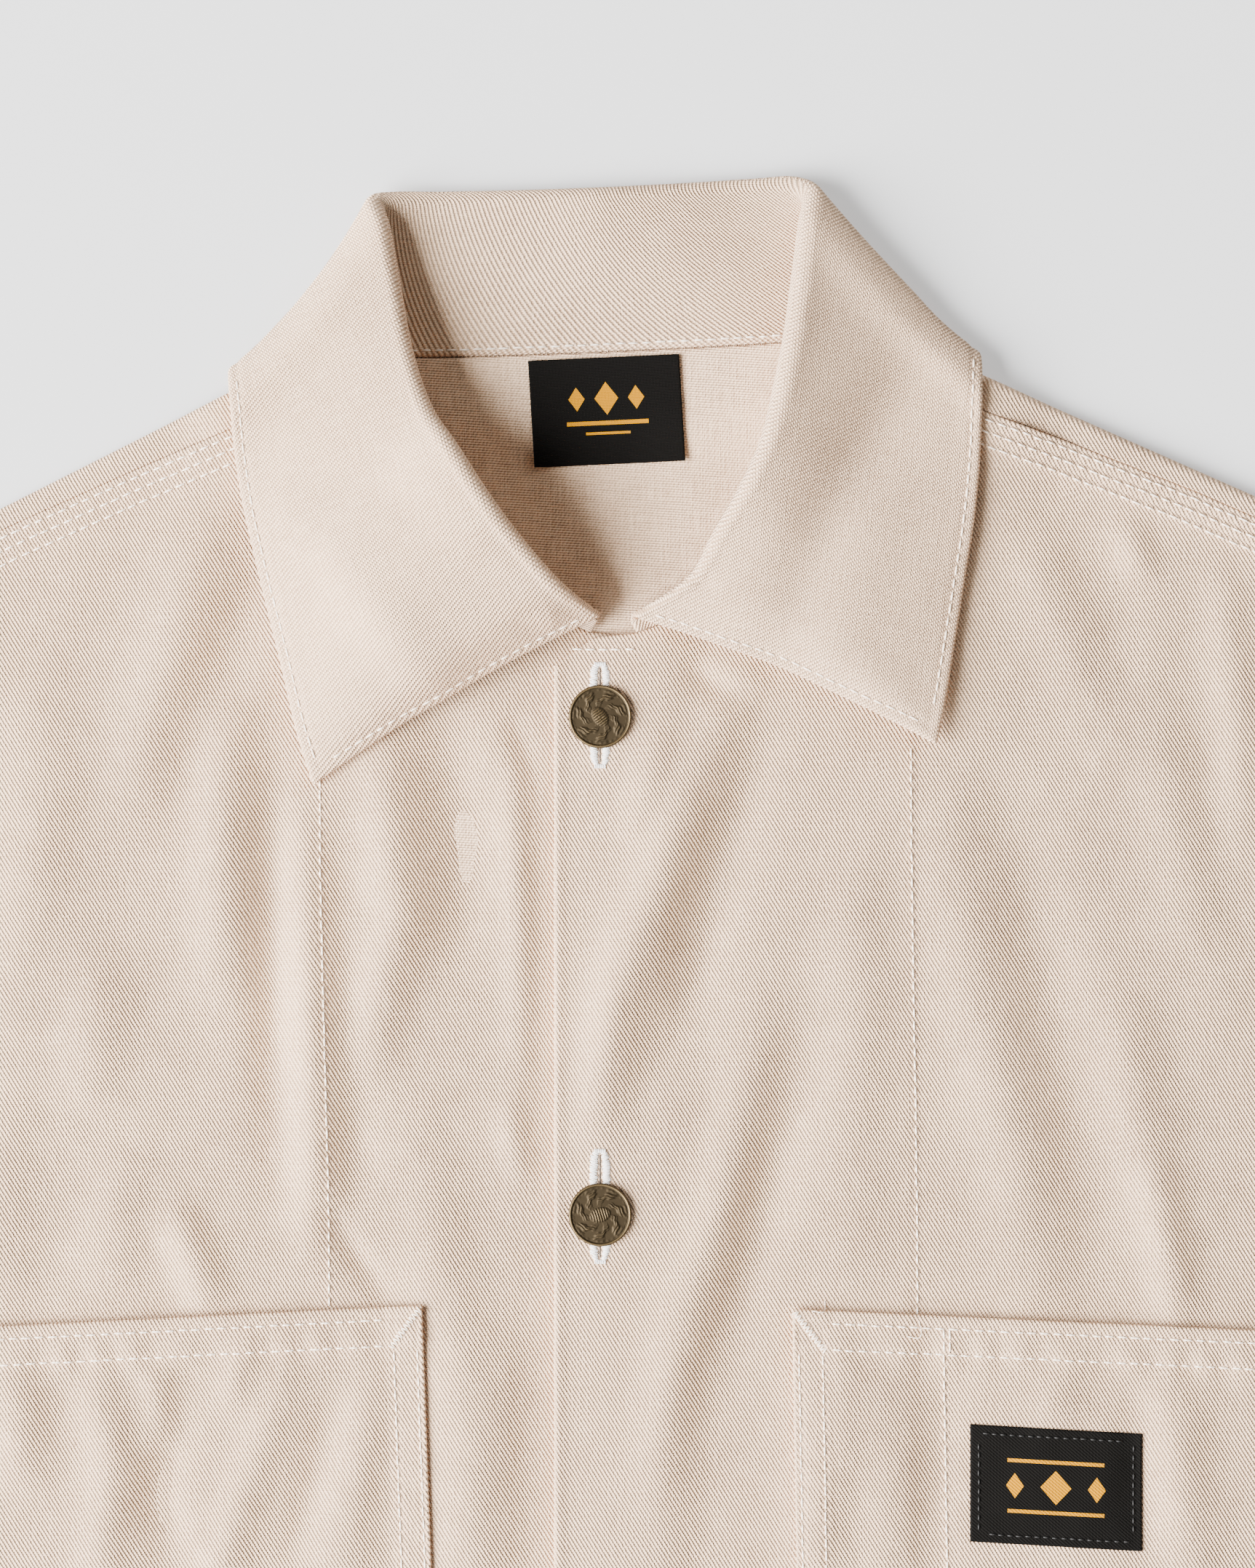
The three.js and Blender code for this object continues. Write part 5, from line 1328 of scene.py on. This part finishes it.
def build_tails():
    """Loose ends of sewing thread: short curled tubes lying on the cloth, over the pocket's edge."""
    parts = []
    x0, y0 = POCKET["left"]["corner"]
    t = np.linspace(0, 1, 24)
    for (px, py), side, seed in THREAD_TAILS:
        bend = np.random.default_rng(seed).uniform(-2.5, 2.5)
        x = px + 3.4 * np.sin(t * 4 + seed) * t + bend * t
        y = py - 6.0 * t + 1.6 * np.cos(t * 5 + seed)
        z = front_height(side, x, y) + CLOTH / 2 + 0.15 + 1.2 * np.sin(t * math.pi) ** 2
        on_pocket = y < y0 - 0.2 - POCKET["left"]["tilt"] * (x - x0 - 0.9)
        line = np.stack([x, y, np.where(on_pocket, z + 2.4, z)], 1)
        parts.append(threads(line[:-1], line[1:], 0.16))
    build_threads("thread_tails", parts, "thread")


class JacketSizes(bpy.types.PropertyGroup):
    """Sizes that set how fine the cloth and stitches are."""

    mesh_step: FloatProperty(name="Mesh step", default=1.5, min=0.8, max=6.0,
                             description="Distance between grid lines, in millimetres")
    stitch_pitch: FloatProperty(name="Stitch pitch", default=3.5, min=2.0, max=6.0,
                                description="Length from stitch to stitch, in millimetres")
    weave_relief: FloatProperty(name="Weave relief", default=0.16, min=0.0, max=0.3,
                                description="Height of the twill lines, in millimetres")


class JacketColours(bpy.types.PropertyGroup):
    """Colours of the cloth, threads, labels and buttons."""

    cloth: FloatVectorProperty(name="Cloth", description="Natural cotton twill", subtype="COLOR", size=3,
                               default=(0.905, 0.646, 0.44), min=0, max=1)
    # Painted shade for the low parts of the twill, darker than the cloth
    hollow: FloatVectorProperty(name="Cloth hollow shade", description="Cotton between the twill lines",
                                subtype="COLOR", size=3, default=(0.34, 0.205, 0.12), min=0, max=1)
    thread: FloatVectorProperty(name="Thread", description="Sewing thread", subtype="COLOR", size=3,
                                default=(0.91, 0.765, 0.62), min=0, max=1)
    buttonhole: FloatVectorProperty(name="Buttonhole thread", description="White buttonhole thread",
                                    subtype="COLOR", size=3, default=(0.84, 0.80, 0.76), min=0, max=1)
    label: FloatVectorProperty(name="Label", description="Black woven labels", subtype="COLOR", size=3,
                               default=(0.005, 0.0045, 0.004), min=0, max=1)
    gold: FloatVectorProperty(name="Label mark", description="Gold yarn of the labels", subtype="COLOR",
                              size=3, default=(0.50, 0.21, 0.0), min=0, max=1)
    brass: FloatVectorProperty(name="Brass", description="Old brass of the buttons", subtype="COLOR", size=3,
                               default=(0.19, 0.13, 0.06), min=0, max=1)


class OBJECT_OT_jacket_finishes(bpy.types.Operator):
    """Make the shared weave groups and the materials"""

    bl_idname = "jacket.finishes"
    bl_label = "Make finishes"

    def execute(self, context):
        colours, sizes = context.scene.jacket_colours, context.scene.jacket_sizes
        GROUPS["twill"] = twill_group()
        GROUPS["cloud"] = cloudy_group()
        FINISHES["twill"] = cotton("Cotton twill", tuple(colours.cloth), tuple(colours.hollow),
                                   sizes.weave_relief)
        FINISHES["thread"] = thread_material("Cream thread", tuple(colours.thread))
        FINISHES["white_thread"] = thread_material("White buttonhole thread", tuple(colours.buttonhole))
        FINISHES["black_thread"] = thread_material("Black thread", tuple(colours.label))
        # Painted shade for the buttonhole slits
        FINISHES["slit"] = slit_shade_material("Buttonhole slit shade")
        FINISHES["brass"] = brass_material("Old brass", tuple(colours.brass))
        FINISHES["neck_label"] = label_material(
            "Neck label satin", tuple(colours.label), (0.0, 2.3), tuple(colours.gold),
            bars=[(1, -17.5, 11, 0.55), (1, -20.2, 6, 0.35)],
            diamonds=[(-7, -11, 2.2, 3.2), (1, -11, 3.2, 4.4), (9, -11, 2.2, 3.2)])
        FINISHES["chest_label"] = label_material(
            "Chest label twill", tuple(colours.label), (0.9, 1.1), tuple(colours.gold),
            bars=[(23, -9.0, 13, 0.5), (23, -22.6, 13, 0.5)],
            diamonds=[(12, -15.8, 2.4, 3.4), (23, -15.8, 4.2, 4.6), (34, -15.8, 2.4, 3.4)])
        return {"FINISHED"}


class OBJECT_OT_jacket_body(bpy.types.Operator):
    """Build the back and the two fronts"""

    bl_idname = "jacket.body"
    bl_label = "Body panels"

    def execute(self, context):
        step = context.scene.jacket_sizes.mesh_step
        build_back(step)
        for side in SIDES:
            build_front(side, step)
        return {"FINISHED"}


class OBJECT_OT_jacket_sleeves(bpy.types.Operator):
    """Build the two sleeves"""

    bl_idname = "jacket.sleeves"
    bl_label = "Sleeves"

    def execute(self, context):
        for side in SIDES:
            build_sleeve(side)
        return {"FINISHED"}


class OBJECT_OT_jacket_collar(bpy.types.Operator):
    """Build the collar"""

    bl_idname = "jacket.collar"
    bl_label = "Collar"

    def execute(self, context):
        build_collar(context.scene.jacket_sizes.mesh_step)
        return {"FINISHED"}


class OBJECT_OT_jacket_pockets(bpy.types.Operator):
    """Build the two chest pockets"""

    bl_idname = "jacket.pockets"
    bl_label = "Chest pockets"

    def execute(self, context):
        for side in SIDES:
            build_pocket(side, context.scene.jacket_sizes.mesh_step)
        return {"FINISHED"}


class OBJECT_OT_jacket_stitching(bpy.types.Operator):
    """Build all rows of stitches and the loose thread ends"""

    bl_idname = "jacket.stitching"
    bl_label = "Stitching"

    def execute(self, context):
        sizes = context.scene.jacket_sizes
        pitch = sizes.stitch_pitch
        lines = seam_lines() + [cuff_line("right"), cuff_line("left")]
        build_stitching("body_stitching", lines, pitch)
        build_stitching("pocket_stitching", pocket_lines("right") + pocket_lines("left"), pitch)
        build_stitching("collar_stitching", collar_lines(sizes.mesh_step), pitch)
        build_tacks()
        build_tails()
        return {"FINISHED"}


class OBJECT_OT_jacket_closures(bpy.types.Operator):
    """Build the buttons and buttonholes"""

    bl_idname = "jacket.closures"
    bl_label = "Buttons and buttonholes"

    def execute(self, context):
        build_buttons()
        build_buttonholes()
        return {"FINISHED"}


class OBJECT_OT_jacket_labels(bpy.types.Operator):
    """Build the neck and chest labels"""

    bl_idname = "jacket.labels"
    bl_label = "Labels"

    def execute(self, context):
        build_labels()
        return {"FINISHED"}


def area_light(name, place, target, size, power):
    """Square soft light at a place, facing a target."""
    light = bpy.data.lights.new(name, "AREA")
    light.shape, light.size, light.energy = "SQUARE", size, power
    thing = bpy.data.objects.new(name, light)
    bpy.context.scene.collection.objects.link(thing)
    thing.location = place
    way = np.array(target, float) - np.array(place, float)
    turn = math.atan2(way[1], way[0]) - math.pi / 2
    thing.rotation_euler = (math.acos(-way[2] / np.linalg.norm(way)), 0, turn)
    return thing


class OBJECT_OT_jacket_stage(bpy.types.Operator):
    """Lay out the floor, the lights and the camera looking straight down"""

    bl_idname = "jacket.stage"
    bl_label = "Stage"

    def execute(self, context):
        scene = context.scene
        floor = bpy.data.meshes.new("floor")
        reach, z, tone = FLOOR["reach"], FLOOR["z"], FLOOR["tone"]
        corners = [(-reach, -reach, z), (reach, -reach, z), (reach, reach, z), (-reach, reach, z)]
        floor.from_pydata(corners, [], [(0, 1, 2, 3)])
        floor_thing = bpy.data.objects.new("floor", floor)
        scene.collection.objects.link(floor_thing)
        material, _, shader = new_material("Floor")
        set_inputs(shader, {"Base Color": (tone, tone, tone, 1), "Roughness": 1.0, "Specular IOR Level": 0.0,
                            "Emission Color": (1, 1, 1, 1), "Emission Strength": FLOOR["glow"]})
        floor.materials.append(material)
        centre = (VIEW["x"] * MM, (VIEW["y"] + MID_Y) * MM, 0.0)
        lights = [area_light(name, (centre[0] + x, centre[1] + y, z), centre, size, power)
                  for name, ((x, y, z), size, power) in LIGHTS.items()]
        world = bpy.data.worlds.new("studio")
        world.use_nodes = True
        sky = world.node_tree.nodes["Background"]
        sky.inputs[0].default_value = (1.0, 1.0, 1.0, 1)
        sky.inputs[1].default_value = SKY
        scene.world = world
        data = bpy.data.cameras.new("camera")
        data.sensor_fit = "VERTICAL"
        data.sensor_height = SENSOR
        data.lens = SENSOR * VIEW["distance"] / VIEW["height"]
        data.clip_end = 50
        camera = bpy.data.objects.new("camera", data)
        camera.location = (centre[0], centre[1], VIEW["distance"] * MM)
        scene.collection.objects.link(camera)
        scene.camera = camera
        return {"FINISHED"}


class VIEW3D_PT_jacket(bpy.types.Panel):
    """Lists the jacket's sizes, colours and pieces"""

    bl_label = "Chore jacket"
    bl_idname = "VIEW3D_PT_jacket"
    bl_space_type = "VIEW_3D"
    bl_region_type = "UI"
    bl_category = "Jacket"

    def draw(self, context):
        for group in (context.scene.jacket_sizes, context.scene.jacket_colours):
            for key in group.__annotations__:
                self.layout.prop(group, key)
        for operator in OPERATORS:
            self.layout.operator(operator.bl_idname)


OPERATORS = (
    OBJECT_OT_jacket_finishes, OBJECT_OT_jacket_body, OBJECT_OT_jacket_sleeves, OBJECT_OT_jacket_collar,
    OBJECT_OT_jacket_pockets, OBJECT_OT_jacket_labels, OBJECT_OT_jacket_closures, OBJECT_OT_jacket_stitching,
    OBJECT_OT_jacket_stage,
)
CLASSES = (JacketSizes, JacketColours, *OPERATORS, VIEW3D_PT_jacket)


def register():
    for one in CLASSES:
        bpy.utils.register_class(one)
    bpy.types.Scene.jacket_sizes = PointerProperty(type=JacketSizes)
    bpy.types.Scene.jacket_colours = PointerProperty(type=JacketColours)


def unregister():
    del bpy.types.Scene.jacket_colours
    del bpy.types.Scene.jacket_sizes
    for one in reversed(CLASSES):
        bpy.utils.unregister_class(one)


def main():
    """Register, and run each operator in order."""
    register()
    for operator in OPERATORS:
        group, name = operator.bl_idname.split(".")
        getattr(getattr(bpy.ops, group), name)()
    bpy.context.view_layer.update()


if __name__ == "__main__":
    main()
